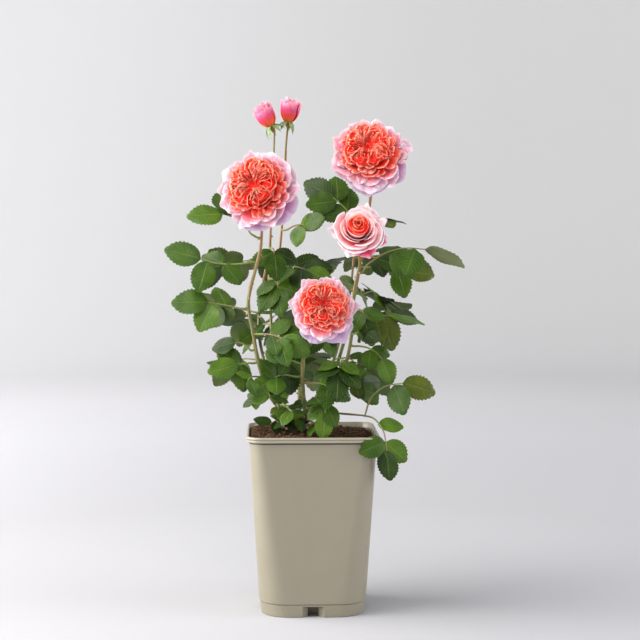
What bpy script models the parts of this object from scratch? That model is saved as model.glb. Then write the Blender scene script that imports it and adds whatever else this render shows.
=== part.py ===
"""A potted shrub rose: a square nursery pot with its soil, and a grafted rose in full bloom.

The origin is the middle of the pot's flat underside, +Z is up and the plant's best side looks
along -Y. Bearings are degrees round the upright axis: 0 is the front, 90 the right, 180 the back.
Every shoot is a solid of its own: its stem grows from a cane, its compound leaves grow from the
stem, and a leaf that would touch a neighbour is turned a little or left out.
"""

import math
import random
from collections import namedtuple

import bmesh
import bpy
from mathutils import Matrix, Vector
from mathutils.bvhtree import BVHTree

MM = 0.001
UP = Vector((0, 0, 1))
CONTACT_GAP = 0.3 * MM
SEED = 61

# The pot: a tall square container with rounded corners, wider at the top than at the foot.
POT_HEIGHT = 236 * MM
RIM_WIDTH = 170 * MM
WALL_TOP_WIDTH = 162 * MM
WALL_FOOT_WIDTH = 138 * MM
CORNER_TOP = 18 * MM
CORNER_FOOT = 38 * MM
WALL = 2 * MM
LIP_HEIGHT = 7 * MM
FOOT_HEIGHT = 17 * MM
FOOT_STEP = 0.9 * MM
FOOT_TUCK = 1.6 * MM
CORNER_STEPS = 4
NOTCH_WIDTH = 30 * MM
NOTCH_THROAT = 15 * MM
NOTCH_HEIGHT = 14.5 * MM
NOTCH_DEPTH = 24 * MM
NOTCH_MOUTH = 1 * MM
NOTCH_CHEEK = 9 * MM

# The soil: a low mound, highest round the graft union.
SOIL_EDGE = 227 * MM
SOIL_MOUND = 11 * MM
MOUND_CENTRE = Vector((-22, -2, 0)) * MM
MOUND_SEAT = 31 * MM

# The graft union: a knobbly foot whose short sockets carry the canes.
UNION_CENTRE = Vector((-22, -4, 247)) * MM
UNION_RADIUS = 17 * MM
SOCKET_SWELL = 1.3
SOCKET_LENGTH = 8 * MM

# Blades: a leaf or petal is a lens of few faces, thickest along its midrib.
LEAF_THICKNESS = 1.1 * MM
LEAF_WIDTH_SHARE = 0.70
LEAF_OUTLINE = ((0.30, 0.44), (0.68, 0.43), (1.0, 0.0))
PETAL_THICKNESS = 1.8 * MM
SEPAL_OUTLINE = ((0.35, 0.5), (1.0, 0.0))
PETAL_OUTLINE = ((0.42, 0.40), (0.80, 0.50), (1.0, 0.24))
NECK_HEIGHT = 1.0 * MM
STALK_RADIUS = 1.15 * MM
STEM_RADII = [1.75 * MM, 1.75 * MM, 1.5 * MM]
STALK_STEPS = 3
SUNK = 0.4 * MM
PAIR_INSET = 0.15 * MM
WELD = 0.004 * MM
STRAIGHT = math.radians(176)
SHARP = math.radians(35)
TRIANGLE_METHODS = (("BEAUTY", "BEAUTY"), ("BEAUTY", "EAR_CLIP"), ("FIXED", "EAR_CLIP"), ("FIXED", "BEAUTY"))

# Where leaflet pairs stand along the stalk, and their size against the end leaflet.
PAIR_PLACES = {1: (), 3: (0.74,), 5: (0.46, 0.84), 7: (0.34, 0.60, 0.86)}
PAIR_SIZES = {1: (), 3: (0.90,), 5: (0.78, 0.94), 7: (0.66, 0.84, 0.95)}
PAIR_ANGLE = 60
SWING_JITTER = 9
DIP_JITTER = 10
ROLL_JITTER = 14
SIZE_JITTER = 0.07
SWAY_JITTER = 3
FREE_ROOT = 0.16
LEAFLET_DIP = 8
LEAFLET_TURNS = ((0, 0, 0), (0, 16, 0), (0, -16, 0), (14, 0, 0), (-14, 0, 0), (0, 30, 0), (0, 0, 30),
                 (0, 0, -30), (22, 16, 0), (-22, -16, 0), (0, -30, 0))
STALK_TURNS = ((0, 0), (9, 0), (-9, 0), (0, 10), (0, -10), (18, 0), (-18, 0), (0, 20), (0, -20))

Cane = namedtuple("Cane", "name foot_radius tip_radius sides places")
Bloom = namedtuple("Bloom", "name cane centre axis radius")
Leaf = namedtuple("Leaf", "along bearing rise droop stalk blade lean twist leaflets spreads",
                  defaults=((),))
Shoot = namedtuple("Shoot", "name cane height bearing rise length face leaves")

# Canes, from the union upwards: the places in millimetres where each one bends at a bud.
CANES = (
    Cane("cane_low", 3.6, 2.7, 6,
         ((-9, -30, 259), (-13, -47, 295), (-13, -57, 327), (-10, -65, 346), (1, -74, 361), (8, -76, 372))),
    Cane("cane_left", 3.4, 2.3, 6,
         ((-36, -22, 259), (-58, -36, 290), (-71, -44, 333), (-77, -47, 368), (-83, -48, 402),
          (-80, -48, 426), (-72, -48, 456), (-67, -48, 480), (-65, -46, 512))),
    Cane("cane_bud", 2.9, 1.6, 6,
         ((-42, -3, 257), (-48, 6, 301), (-53, 14, 367), (-56, 15, 434), (-55, 12, 480), (-52, 8, 539),
          (-50, 1, 596))),
    Cane("cane_top", 3.0, 1.8, 6,
         ((-36, 13, 258), (-37, 24, 313), (-43, 32, 406), (-43, 31, 457), (-38, 25, 520), (-34, 15, 604))),
    Cane("cane_right", 3.3, 2.4, 6,
         ((2, -14, 258), (24, -22, 286), (43, -27, 324), (52, -32, 372), (54, -38, 420), (60, -42, 452))),
    Cane("cane_right_bloom", 3.2, 2.3, 6,
         ((-2, 7, 259), (31, 17, 314), (50, 13, 380), (60, 4, 434), (72, -3, 500), (77, -9, 545))),
    Cane("cane_back_left", 3.2, 1.9, 6,
         ((-32, 30, 256), (-56, 52, 300), (-70, 66, 360), (-66, 74, 420), (-54, 76, 470))),
    Cane("cane_back", 3.0, 1.9, 6,
         ((-16, 30, 257), (-14, 66, 296), (-4, 88, 345), (6, 98, 400), (4, 96, 440))),
    Cane("cane_back_right", 3.2, 1.9, 6,
         ((-6, 22, 257), (22, 50, 300), (42, 64, 360), (54, 66, 420), (60, 58, 478))),
)

# Open roses, by the cane that carries each: centre in millimetres and the way the flower looks.
BLOOMS = (
    Bloom("bloom_left", "cane_left", (-70, -75, 552), (-0.25, -0.92, 0.28), 56),
    Bloom("bloom_right", "cane_right_bloom", (75, -42, 599), (-0.08, -0.86, 0.42), 55),
    Bloom("bloom_low", "cane_low", (13, -105, 402), (0.02, -0.95, 0.28), 45),
)
HALF_OPEN = Bloom("rose_half_open", "cane_right", (59, -76, 501), (0.05, -0.88, 0.42), 36)
BUDS = (
    Bloom("bud_left", "cane_bud", (-59, 0, 647), (-0.46, -0.10, 0.88), 12),
    Bloom("bud_top", "cane_top", (-29, 10, 654), (0.12, -0.14, 0.98), 12),
)

# Flower bodies, as shares of the flower's radius: each ring's distance from the axis, height along
# it, and how far its petal edges swell and sink. Then the loose outer petals: count, root and tip
# distance, root and tip height, width.
LOBE_POINTS = 3
ROSETTE_LOBES = 6
ROSETTE_BODY = ((0.12, -0.34, 0.0), (0.60, -0.20, 0.02), (0.88, -0.03, 0.07), (0.74, 0.06, 0.03),
                (0.70, 0.22, -0.08), (0.40, 0.33, 0.05), (0.12, 0.27, 0.0))
ROSETTE_PETALS = (5, 0.08, 1.00, -0.31, -0.20, 1.0)
CUP_LOBES = 5
CUP_BODY = ((0.14, -0.52, 0.0), (0.56, -0.30, 0.02), (0.82, 0.16, 0.06), (0.62, 0.20, 0.03),
            (0.54, 0.42, -0.07), (0.28, 0.40, 0.04), (0.14, 0.50, 0.0))
CUP_PETALS = (5, 0.06, 1.00, -0.50, 0.02, 1.05)
BUD_LOBES = 3
BUD_BODY = ((0.45, -1.2, 0.0), (0.95, -0.6, 0.0), (1.1, 1.0, 0.08), (0.62, 1.9, 0.1))
BUD_PETALS = (3, 0.20, 1.36, -0.8, 1.9, 1.42)
SEPALS = 5
CALYX_LENGTH = 9 * MM
CALYX_RADIUS = 5.5 * MM
HIP_RISE = 9 * MM


def shoots():
    """Every leafy shoot: where its stem leaves a cane, and its compound leaves."""
    return LEFT_SHOOTS + RIGHT_SHOOTS + CENTRE_SHOOTS + LOW_SHOOTS + BACK_SHOOTS


LEFT_SHOOTS = (
    Shoot("leaves_left_top", "cane_left", 490, -72, 30, 10, 0, (
        Leaf(1, -84, 68, 66, 46, 50, 50, 0, 3, (None, 56)),)),
    Shoot("leaves_left_upper", "cane_left", 458, -80, -10, 12, 0, (
        Leaf(1, -92, -8, -28, 56, 47, 58, 0, 5, (130, 24, 92, None)),)),
    Shoot("leaves_left_middle", "cane_left", 400, -75, 5, 5, 0, (
        Leaf(1, -88, 14, 6, 42, 45, 56, 0, 5, (None, 56, 78, None)),)),
    Shoot("leaves_left_twig", "cane_left", 346, -72, 40, 4, 0, (
        Leaf(1, -86, 56, 62, 20, 34, 46, 0, 3, (None, 130)),)),
    Shoot("leaves_left_lower", "cane_left", 330, -70, 4, 7, 0, (
        Leaf(1, -84, -8, -6, 14, 40, 66, 0, 3, (85, 30)),)),
    Shoot("leaves_left_foot", "cane_left", 288, -78, 0, 6, 0, (
        Leaf(1, -80, -14, 12, 8, 18, 50, 0, 3),)),
)
RIGHT_SHOOTS = (
    Shoot("leaves_right_upper", "cane_right", 446, 80, 60, 12, 0, (
        Leaf(1, 84, 42, 54, 80, 55, 66, -98, 5, (None, 60, None, 100)),)),
    Shoot("leaves_right_outer", "cane_right_bloom", 452, 74, 0, 8, 0, (
        Leaf(1, 84, -2, 8, 48, 42, 58, 0, 3, (None, 60)),)),
    Shoot("leaves_beside_rose", "cane_right_bloom", 466, 60, -4, 5, 0, (
        Leaf(1, 66, 0, 20, 10, 42, 30, 0, 3, (None, 40)),)),
    Shoot("leaves_behind_rose", "cane_right_bloom", 514, 88, 6, 8, 0, (
        Leaf(1, 92, 4, 2, 8, 32, 4, 0, 3, (None, 70)),)),
    Shoot("leaves_right_middle", "cane_right", 384, 78, 12, 10, 0, (
        Leaf(1, 84, 16, 18, 30, 48, 66, -60, 5, (None, 84, None, 76)),)),
    Shoot("leaves_right_inner", "cane_right", 398, 30, 10, 6, 0, (
        Leaf(1, 40, 0, 60, 12, 32, 60, 0, 3),)),
    Shoot("leaves_right_lower", "cane_right", 350, 66, 4, 6, 0, (
        Leaf(1, 72, 0, 56, 36, 38, 62, 0, 5, (16, 60, None, None)),)),
    Shoot("leaves_right_low_spray", "cane_right", 266, 66, -2, 60, 0, (
        Leaf(1, 74, 86, 90, 72, 44, 55, 0, 5, (120, None, None, 76)),
        Leaf(0.93, 36, 12, 106, 72, 42, 60, 0, 5, (50, None, 44, 76)),)),
)
CENTRE_SHOOTS = (
    Shoot("leaves_top_left", "cane_top", 500, 40, 10, 8, 0, (
        Leaf(1, 60, 34, 40, 26, 38, 66, 0, 3, (14, 96)),)),
    Shoot("leaves_top_right", "cane_right_bloom", 502, -80, 34, 10, 0, (
        Leaf(1, -94, 60, 24, 46, 46, 62, 0, 5),)),
    Shoot("leaves_under_bloom", "cane_top", 452, 30, 0, 10, 0, (
        Leaf(1, 56, 6, 26, 34, 44, 62, 0, 5, (60, 40, 40, 60)),)),
    Shoot("leaves_centre_top", "cane_bud", 476, 20, 0, 6, 0, (
        Leaf(1, 10, 0, 60, 14, 38, 60, 0, 3, (60, 60)),)),
    Shoot("leaves_centre_left", "cane_bud", 436, 10, 0, 8, 0, (
        Leaf(1, 20, 10, 70, 30, 42, 60, 0, 5, (60, 60, 50, 60)),)),
    Shoot("leaves_centre_right", "cane_right", 404, -30, 30, 8, 0, (
        Leaf(1, -50, 20, 40, 30, 42, 66, 0, 3),)),
    Shoot("leaves_inner_left", "cane_left", 366, 50, 0, 8, 0, (
        Leaf(1, 62, 6, 30, 30, 42, 62, 0, 5),)),
    Shoot("leaves_inner_middle", "cane_bud", 340, 20, 10, 10, 0, (
        Leaf(1, 24, 10, 60, 44, 46, 60, 0, 5),)),
    Shoot("leaves_inner_right", "cane_right", 330, -20, 10, 8, 0, (
        Leaf(1, -10, 10, 60, 34, 40, 60, 0, 5),)),
    Shoot("leaves_behind_low_bloom", "cane_right_bloom", 372, -40, 10, 10, 0, (
        Leaf(1, -50, 10, 50, 36, 40, 62, 0, 5),)),
    Shoot("leaves_inner_back", "cane_top", 404, 60, 10, 10, 0, (
        Leaf(1, 70, 10, 50, 36, 42, 60, 0, 5),)),
)
LOW_SHOOTS = (
    Shoot("leaves_low_front", "cane_right", 286, -6, 14, 8, 0, (
        Leaf(1, -10, 6, 76, 44, 36, 60, 0, 3, (40, 60)),)),
    Shoot("leaves_low_middle", "cane_low", 304, 60, 0, 8, 0, (
        Leaf(1, 66, 10, 40, 24, 34, 62, 0, 5),)),
    Shoot("leaves_low_left", "cane_low", 312, -70, 10, 8, 0, (
        Leaf(1, -76, 20, 50, 26, 34, 62, 0, 5),)),
    Shoot("leaves_low_bud", "cane_bud", 300, 0, 0, 8, 0, (
        Leaf(1, 16, 16, 50, 22, 28, 60, 0, 3),)),
    Shoot("leaves_foot_left", "cane_left", 274, 10, 0, 5, 0, (
        Leaf(1, 6, -10, 40, 8, 15, 50, 0, 3),)),
    Shoot("leaves_low_right", "cane_right", 302, 110, 10, 8, 0, (
        Leaf(1, 84, 16, 60, 22, 34, 60, 0, 5, (60, 60, 50, 50)),)),
)
BACK_SHOOTS = (
    Shoot("leaves_mid_left", "cane_top", 372, -120, 0, 8, -90, (
        Leaf(1, -140, 20, 60, 34, 44, 50, 0, 5),
        Leaf(0.5, 176, 30, 50, 40, 42, 50, 0, 5),)),
    Shoot("leaves_mid_right", "cane_right_bloom", 416, 110, 0, 8, 90, (
        Leaf(1, 140, 20, 60, 40, 44, 50, 0, 5),
        Leaf(0.5, -176, 30, 50, 34, 42, 50, 0, 5),)),
    Shoot("leaves_back_left_top", "cane_back_left", 456, -120, 0, 10, 180, (
        Leaf(1, -104, 6, 30, 48, 46, 50, 0, 5),
        Leaf(0.4, 170, 30, 60, 46, 44, 50, 0, 5),)),
    Shoot("leaves_back_left_middle", "cane_back_left", 388, -110, 10, 12, 180, (
        Leaf(1, -104, 14, 10, 46, 44, 40, 0, 5),
        Leaf(0.4, -160, 0, 40, 46, 44, 50, 0, 5),)),
    Shoot("leaves_back_left_low", "cane_back_left", 326, -120, 0, 10, 180, (
        Leaf(1, -124, 10, 50, 40, 40, 50, 0, 5),)),
    Shoot("leaves_back_top", "cane_back", 432, 180, 20, 12, 180, (
        Leaf(1, 160, 40, 50, 50, 46, 50, 0, 5),
        Leaf(0.4, -140, 20, 60, 46, 44, 50, 0, 5),)),
    Shoot("leaves_back_middle", "cane_back", 384, 180, 10, 10, 180, (
        Leaf(1, -160, 10, 50, 46, 44, 50, 0, 5),)),
    Shoot("leaves_back_low", "cane_back", 330, 180, 0, 10, 180, (
        Leaf(1, 170, 10, 60, 44, 44, 50, 0, 5),)),
    Shoot("leaves_back_right_top", "cane_back_right", 462, 120, 0, 12, 180, (
        Leaf(1, 100, 14, 30, 52, 46, 40, 0, 5),
        Leaf(0.4, 170, 30, 60, 46, 44, 50, 0, 5),)),
    Shoot("leaves_back_right_middle", "cane_back_right", 390, 110, 0, 12, 180, (
        Leaf(1, 104, 14, 30, 46, 44, 40, 0, 5),
        Leaf(0.4, 160, 0, 40, 46, 44, 50, 0, 5),)),
    Shoot("leaves_back_right_low", "cane_back_right", 322, 110, 0, 10, 180, (
        Leaf(1, 110, 10, 60, 46, 40, 50, 0, 5),)),
)


def clear_scene():
    for old in list(bpy.data.objects):
        bpy.data.objects.remove(old, do_unlink=True)


def make_collection(name, hidden=False):
    made = bpy.data.collections.new(name)
    bpy.context.scene.collection.children.link(made)
    made.hide_render = hidden
    return made


def make_material(name, colour, roughness):
    made = bpy.data.materials.new(name)
    made.use_nodes = True
    shader = made.node_tree.nodes["Principled BSDF"]
    shader.inputs["Base Color"].default_value = (*colour, 1.0)
    shader.inputs["Roughness"].default_value = roughness
    shader.inputs["Metallic"].default_value = 0.0
    return made


def add_object(name, bm, collection, material=None):
    """Turns a finished bmesh into an object, with its faces pointing out."""
    bmesh.ops.recalc_face_normals(bm, faces=bm.faces)
    mesh = bpy.data.meshes.new(name)
    bm.to_mesh(mesh)
    bm.free()
    made = bpy.data.objects.new(name, mesh)
    collection.objects.link(made)
    if material:
        mesh.materials.append(material)
    else:
        made.display_type = "WIRE"
    return made


def outward(bearing):
    turn = math.radians(bearing)
    return Vector((math.sin(turn), -math.cos(turn), 0))


def heading(bearing, rise):
    lift = math.radians(rise)
    return outward(bearing) * math.cos(lift) + UP * math.sin(lift)


def across(direction, hint):
    """The part of hint that stands square to direction, at unit length."""
    return (hint - direction * hint.dot(direction)).normalized()


def loft(bm, rings):
    """A closed skin of triangles through rings of equal count, with a flat face at each end."""
    rows = []
    for ring in rings:
        rows.append([bm.verts.new(point) for point in ring])
    for lower, upper in zip(rows, rows[1:]):
        for i in range(len(lower)):
            j = (i + 1) % len(lower)
            bm.faces.new((lower[i], lower[j], upper[j]))
            bm.faces.new((lower[i], upper[j], upper[i]))
    bm.faces.new(list(reversed(rows[0])))
    bm.faces.new(rows[-1])


def round_rings(points, radii, sides):
    """Rings round a path, each square to it there, carried along without twist."""
    rings = []
    side = across((points[1] - points[0]).normalized(), Vector((0.31, 0.17, 0.93)))
    for i, point in enumerate(points):
        before = points[max(i - 1, 0)]
        after = points[min(i + 1, len(points) - 1)]
        forward = (after - before).normalized()
        side = across(forward, side)
        other = forward.cross(side)
        turns = [2 * math.pi * k / sides for k in range(sides)]
        rings.append([point + (side * math.cos(t) + other * math.sin(t)) * radii[i] for t in turns])
    return rings


def limb(points, radii, sides):
    bm = bmesh.new()
    loft(bm, round_rings(points, radii, sides))
    return bm


def blade(base, forward, normal, length, width, outline, thickness, fold, bend):
    """One leaf or petal: a lens of few faces, folded up along its midrib and bent at its tip."""
    bm = bmesh.new()
    side = forward.cross(normal)

    def place(share, spread, lift=0.0):
        rise = fold * abs(spread) * width + bend * share * share * length + lift
        return bm.verts.new(base + forward * (share * length) + side * (spread * width) + normal * rise)

    neck_top = place(0, 0, NECK_HEIGHT / 2)
    neck_low = place(0, 0, -NECK_HEIGHT / 2)
    mid_top = place(0.5, 0, thickness / 2)
    mid_low = place(0.5, 0, -thickness / 2)
    right = [place(share, spread) for share, spread in outline if spread]
    left = [place(share, -spread) for share, spread in reversed(outline) if spread]
    tip = [place(1, 0)] if outline[-1][1] == 0 else []
    edge = right + tip + left
    for neck, mid in ((neck_top, mid_top), (neck_low, mid_low)):
        bm.faces.new((neck, mid, edge[0]))
        for one, two in zip(edge, edge[1:]):
            bm.faces.new((one, mid, two))
        bm.faces.new((edge[-1], mid, neck))
    bm.faces.new((neck_low, neck_top, edge[0]))
    bm.faces.new((neck_top, neck_low, edge[-1]))
    return bm


def smooth_path(places, steps):
    """Points on a smooth curve through the places (Catmull-Rom)."""
    ends = [places[0] * 2 - places[1]] + list(places) + [places[-1] * 2 - places[-2]]
    path = []
    for i in range(1, len(ends) - 2):
        a, b, c, d = ends[i - 1:i + 3]
        for step in range(steps):
            t = step / steps
            path.append(0.5 * (2 * b + (c - a) * t + (2 * a - 5 * b + 4 * c - d) * t ** 2
                               + (3 * b - a - 3 * c + d) * t ** 3))
    path.append(places[-1])
    return path


def pot_half(height):
    """Half the wall's width at a height."""
    share = height / (POT_HEIGHT - LIP_HEIGHT)
    return (WALL_FOOT_WIDTH + (WALL_TOP_WIDTH - WALL_FOOT_WIDTH) * share) / 2


def pot_corner(height):
    return CORNER_FOOT + (CORNER_TOP - CORNER_FOOT) * height / POT_HEIGHT


def rounded_square(half, corner, height):
    """One ring of points round a square with rounded corners."""
    ring = []
    for quarter in range(4):
        turn = Matrix.Rotation(quarter * math.pi / 2, 3, "Z")
        for step in range(CORNER_STEPS):
            angle = math.pi / 2 * step / (CORNER_STEPS - 1)
            middle = half - corner
            point = Vector((middle + corner * math.cos(angle), middle + corner * math.sin(angle), height))
            ring.append(turn @ point)
    return ring


def notch(widen, front):
    """The arched notch in the foot of one wall: two slanted cheeks, then a narrow throat."""
    bm = bmesh.new()
    rings = []
    low = -2 * MM if front < 0 else WALL / 2
    stations = ((front, NOTCH_WIDTH), (NOTCH_MOUTH, NOTCH_WIDTH), (NOTCH_CHEEK, NOTCH_THROAT),
                (NOTCH_DEPTH + widen, NOTCH_THROAT))
    for depth, width in stations:
        half = width / 2 + widen
        top = NOTCH_HEIGHT + widen
        ring = []
        for x, z in ((-half, low), (half, low), (half - 1.5 * MM, top), (1.5 * MM - half, top)):
            ring.append(Vector((x, depth - pot_half(max(z, 0)) + FOOT_TUCK * 0.5, z)))
        rings.append(ring)
    loft(bm, rings)
    return bm


def on_each_side(name, build, collection):
    """The same piece at the middle of all four walls."""
    made = []
    for quarter in range(4):
        piece = add_object(name, build(), collection)
        piece.rotation_euler.z = quarter * math.pi / 2
        made.append(piece)
    return made


def mid_edge(vert):
    """Whether a point only breaks one straight edge in two."""
    if len(vert.link_edges) != 2:
        return False
    one, two = [edge.other_vert(vert).co - vert.co for edge in vert.link_edges]
    return one.angle(two) > STRAIGHT


def settle_faces(mesh):
    """Splits the many-sided faces that a Boolean leaves, the way that keeps two faces to an edge."""
    for quad_method, ngon_method in TRIANGLE_METHODS:
        bm = bmesh.new()
        bm.from_mesh(mesh)
        bmesh.ops.remove_doubles(bm, verts=bm.verts, dist=WELD)
        bmesh.ops.dissolve_degenerate(bm, edges=bm.edges, dist=WELD)
        bmesh.ops.dissolve_verts(bm, verts=[vert for vert in bm.verts if mid_edge(vert)])
        bmesh.ops.triangulate(bm, faces=bm.faces, quad_method=quad_method, ngon_method=ngon_method)
        sound = all(edge.is_manifold for edge in bm.edges)
        if sound:
            bm.to_mesh(mesh)
        bm.free()
        if sound:
            return
    print("an edge has more than two faces:", mesh.name)


def boolean(target, collection, operation):
    """One Boolean of a whole collection, applied; the collection's objects are then removed."""
    modifier = target.modifiers.new(operation.title(), "BOOLEAN")
    modifier.operation = operation
    modifier.solver = "EXACT"
    modifier.operand_type = "COLLECTION"
    modifier.collection = collection
    bpy.context.view_layer.update()
    graph = bpy.context.evaluated_depsgraph_get()
    finished = bpy.data.meshes.new_from_object(target.evaluated_get(graph))
    target.modifiers.clear()
    target.data = finished
    settle_faces(finished)
    finished.shade_smooth()
    finished.set_sharp_from_angle(angle=SHARP)
    for piece in list(collection.objects):
        bpy.data.objects.remove(piece, do_unlink=True)


def make_pot(parts, cutters, material):
    """One wall of even thickness with a rolled lip, and four notches for drainage in its foot."""
    lip = RIM_WIDTH / 2
    under = POT_HEIGHT - LIP_HEIGHT
    outer = [
        rounded_square(pot_half(0) - FOOT_TUCK - 1 * MM, pot_corner(0), 0),
        rounded_square(pot_half(0) - FOOT_TUCK, pot_corner(0), 1.2 * MM),
        rounded_square(pot_half(FOOT_HEIGHT) - FOOT_STEP, pot_corner(FOOT_HEIGHT), FOOT_HEIGHT - 0.6 * MM),
        rounded_square(pot_half(FOOT_HEIGHT), pot_corner(FOOT_HEIGHT), FOOT_HEIGHT + 0.6 * MM),
        rounded_square(pot_half(under), pot_corner(under), under),
        rounded_square(lip - 1.2 * MM, pot_corner(under) + 2 * MM, under + 0.2 * MM),
        rounded_square(lip - 0.4 * MM, pot_corner(under) + 2 * MM, under + LIP_HEIGHT * 0.45),
        rounded_square(lip - 1.4 * MM, pot_corner(under) + 2 * MM, under + LIP_HEIGHT * 0.52),
        rounded_square(lip, pot_corner(under) + 2 * MM, under + LIP_HEIGHT * 0.62),
        rounded_square(lip - 0.8 * MM, pot_corner(under) + 2 * MM, POT_HEIGHT),
    ]
    inner = [
        rounded_square(lip - 3.2 * MM, pot_corner(under) + 1 * MM, POT_HEIGHT),
        rounded_square(pot_half(under) - WALL, pot_corner(under) - 1 * MM, under),
        rounded_square(pot_half(WALL) - FOOT_TUCK - WALL, pot_corner(WALL) - 1 * MM, 1.25 * WALL),
    ]
    bm = bmesh.new()
    loft(bm, outer + inner)
    pot = add_object("pot", bm, parts, material)
    on_each_side("notch_lining", lambda: notch(WALL, 0.5 * MM), cutters)
    boolean(pot, cutters, "UNION")
    on_each_side("notch_cutter", lambda: notch(0, -9 * MM), cutters)
    boolean(pot, cutters, "DIFFERENCE")
    return pot


def make_soil(parts, cutters, material, rng):
    """The root ball's soil: it fills the pot with a fine gap and rises to a seat for the plant."""
    gap = CONTACT_GAP
    under = POT_HEIGHT - LIP_HEIGHT
    floor = 1.25 * WALL
    bottom = rounded_square(pot_half(WALL) - FOOT_TUCK - WALL - gap, pot_corner(WALL) - 1 * MM, floor + gap)
    share = (SOIL_EDGE - floor) / (under - floor)
    edge_half = (pot_half(WALL) - FOOT_TUCK - WALL) * (1 - share) + (pot_half(under) - WALL) * share - gap
    edge = rounded_square(edge_half, pot_corner(under) - 1 * MM, SOIL_EDGE)
    rings = [bottom, edge]
    for step in (1, 2, 3):
        climb = step / 3
        ring = []
        for point in edge:
            spoke = Vector((point.x, point.y, 0)) - MOUND_CENTRE
            seat = MOUND_CENTRE + spoke.normalized() * MOUND_SEAT
            lump = rng.uniform(-1, 1) * 1.6 * MM * (step < 3)
            height = SOIL_EDGE + SOIL_MOUND * math.sin(climb * math.pi / 2) + lump
            flat = seat * climb + Vector((point.x, point.y, 0)) * (1 - climb)
            ring.append(Vector((flat.x, flat.y, height)))
        rings.append(ring)
    bm = bmesh.new()
    loft(bm, rings)
    soil = add_object("soil", bm, parts, material)
    on_each_side("soil_rebate", lambda: notch(WALL + gap, -3 * MM), cutters)
    boolean(soil, cutters, "DIFFERENCE")
    return soil


def make_union(parts, fused, cutters, material, canes):
    """The graft union: swollen lumps on a flat foot, with a socket under each cane."""
    seat = SOIL_EDGE + SOIL_MOUND + CONTACT_GAP
    bm = bmesh.new()
    bmesh.ops.create_uvsphere(bm, u_segments=9, v_segments=6, radius=UNION_RADIUS,
                              matrix=Matrix.Translation(UNION_CENTRE))
    union = add_object("graft_union", bm, parts, material)
    for bearing, reach, lift, swell in ((35, 12, -4, 0.62), (-80, 13, -5, 0.66), (160, 12, -4, 0.7)):
        lump = bmesh.new()
        centre = UNION_CENTRE + outward(bearing) * reach * MM + UP * lift * MM
        tipped = Matrix.Rotation(math.radians(bearing), 4, Vector((0.6, 0.2, 0.77)))
        bmesh.ops.create_uvsphere(lump, u_segments=7, v_segments=5, radius=UNION_RADIUS * swell,
                                  matrix=Matrix.Translation(centre) @ tipped)
        add_object("lump", lump, fused)
    foot = bmesh.new()
    stand = Vector((UNION_CENTRE.x + MM, UNION_CENTRE.y, seat + 5 * MM))
    bmesh.ops.create_cone(foot, cap_ends=True, segments=11, radius1=UNION_RADIUS * 1.25,
                          radius2=UNION_RADIUS * 0.8, depth=14 * MM, matrix=Matrix.Translation(stand))
    add_object("foot", foot, fused)
    for cane in canes:
        path = cane_path(cane)
        ahead = (path[1] - path[0]).normalized()
        end = path[0] - ahead * CONTACT_GAP
        radius = cane.foot_radius * MM * SOCKET_SWELL
        add_object("socket", limb([UNION_CENTRE, end - ahead * SOCKET_LENGTH, end],
                                  [radius * 1.2, radius * 1.1, radius], 6), fused)
    boolean(union, fused, "UNION")
    slab = bmesh.new()
    bmesh.ops.create_cube(slab, size=0.2, matrix=Matrix.Translation(Vector((0, 0, seat - 0.1))))
    add_object("ground_cutter", slab, cutters)
    boolean(union, cutters, "DIFFERENCE")
    return union


def cane_path(cane):
    return smooth_path([Vector(place) * MM for place in cane.places], 2)


def make_cane(parts, material, cane):
    """A tapering cane: a round bevelled curve through its bud joints, cut flat at both ends."""
    path = cane_path(cane)
    curve = bpy.data.curves.new(cane.name, "CURVE")
    curve.dimensions = "3D"
    curve.bevel_depth = MM
    curve.bevel_resolution = (cane.sides - 4) // 2
    curve.use_fill_caps = True
    spline = curve.splines.new("POLY")
    spline.points.add(len(path) - 1)
    for i, (point, place) in enumerate(zip(spline.points, path)):
        share = i / (len(path) - 1)
        point.co = (*place, 1)
        point.radius = cane.foot_radius + (cane.tip_radius - cane.foot_radius) * share
    curve.materials.append(material)
    made = bpy.data.objects.new(cane.name, curve)
    parts.objects.link(made)
    return made


def cane_at(cane, height):
    """The cane's middle, heading and radius at a height in millimetres."""
    path = cane_path(cane)
    for i, (low, high) in enumerate(zip(path, path[1:])):
        if high.z >= height * MM or i == len(path) - 2:
            share = (height * MM - low.z) / (high.z - low.z)
            along = (i + share) / (len(path) - 1)
            radius = cane.foot_radius + (cane.tip_radius - cane.foot_radius) * along
            return low.lerp(high, share), (high - low).normalized(), radius * MM
    return None


def flower_frame(bloom):
    """The flower's middle and its own axes: two across its face and one out of it."""
    axis = Vector(bloom.axis).normalized()
    side = across(axis, Vector((1, 0, 0)))
    return Vector(bloom.centre) * MM, side, axis.cross(side), axis


def flower_body(bloom, lobes, rings):
    """The packed petals as one stepped body: each ring swells and sinks with the petals' edges."""
    centre, side, other, axis = flower_frame(bloom)
    size = bloom.radius * MM
    count = lobes * LOBE_POINTS
    levels = []
    for row, (reach, height, swell) in enumerate(rings):
        ring = []
        for k in range(count):
            turn = 2 * math.pi * k / count
            wave = 1 + swell * math.cos(lobes * turn + row)
            out = side * math.cos(turn) + other * math.sin(turn)
            ring.append(centre + (out * reach * wave + axis * height) * size)
        levels.append(ring)
    bm = bmesh.new()
    loft(bm, levels)
    return bm


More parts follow.
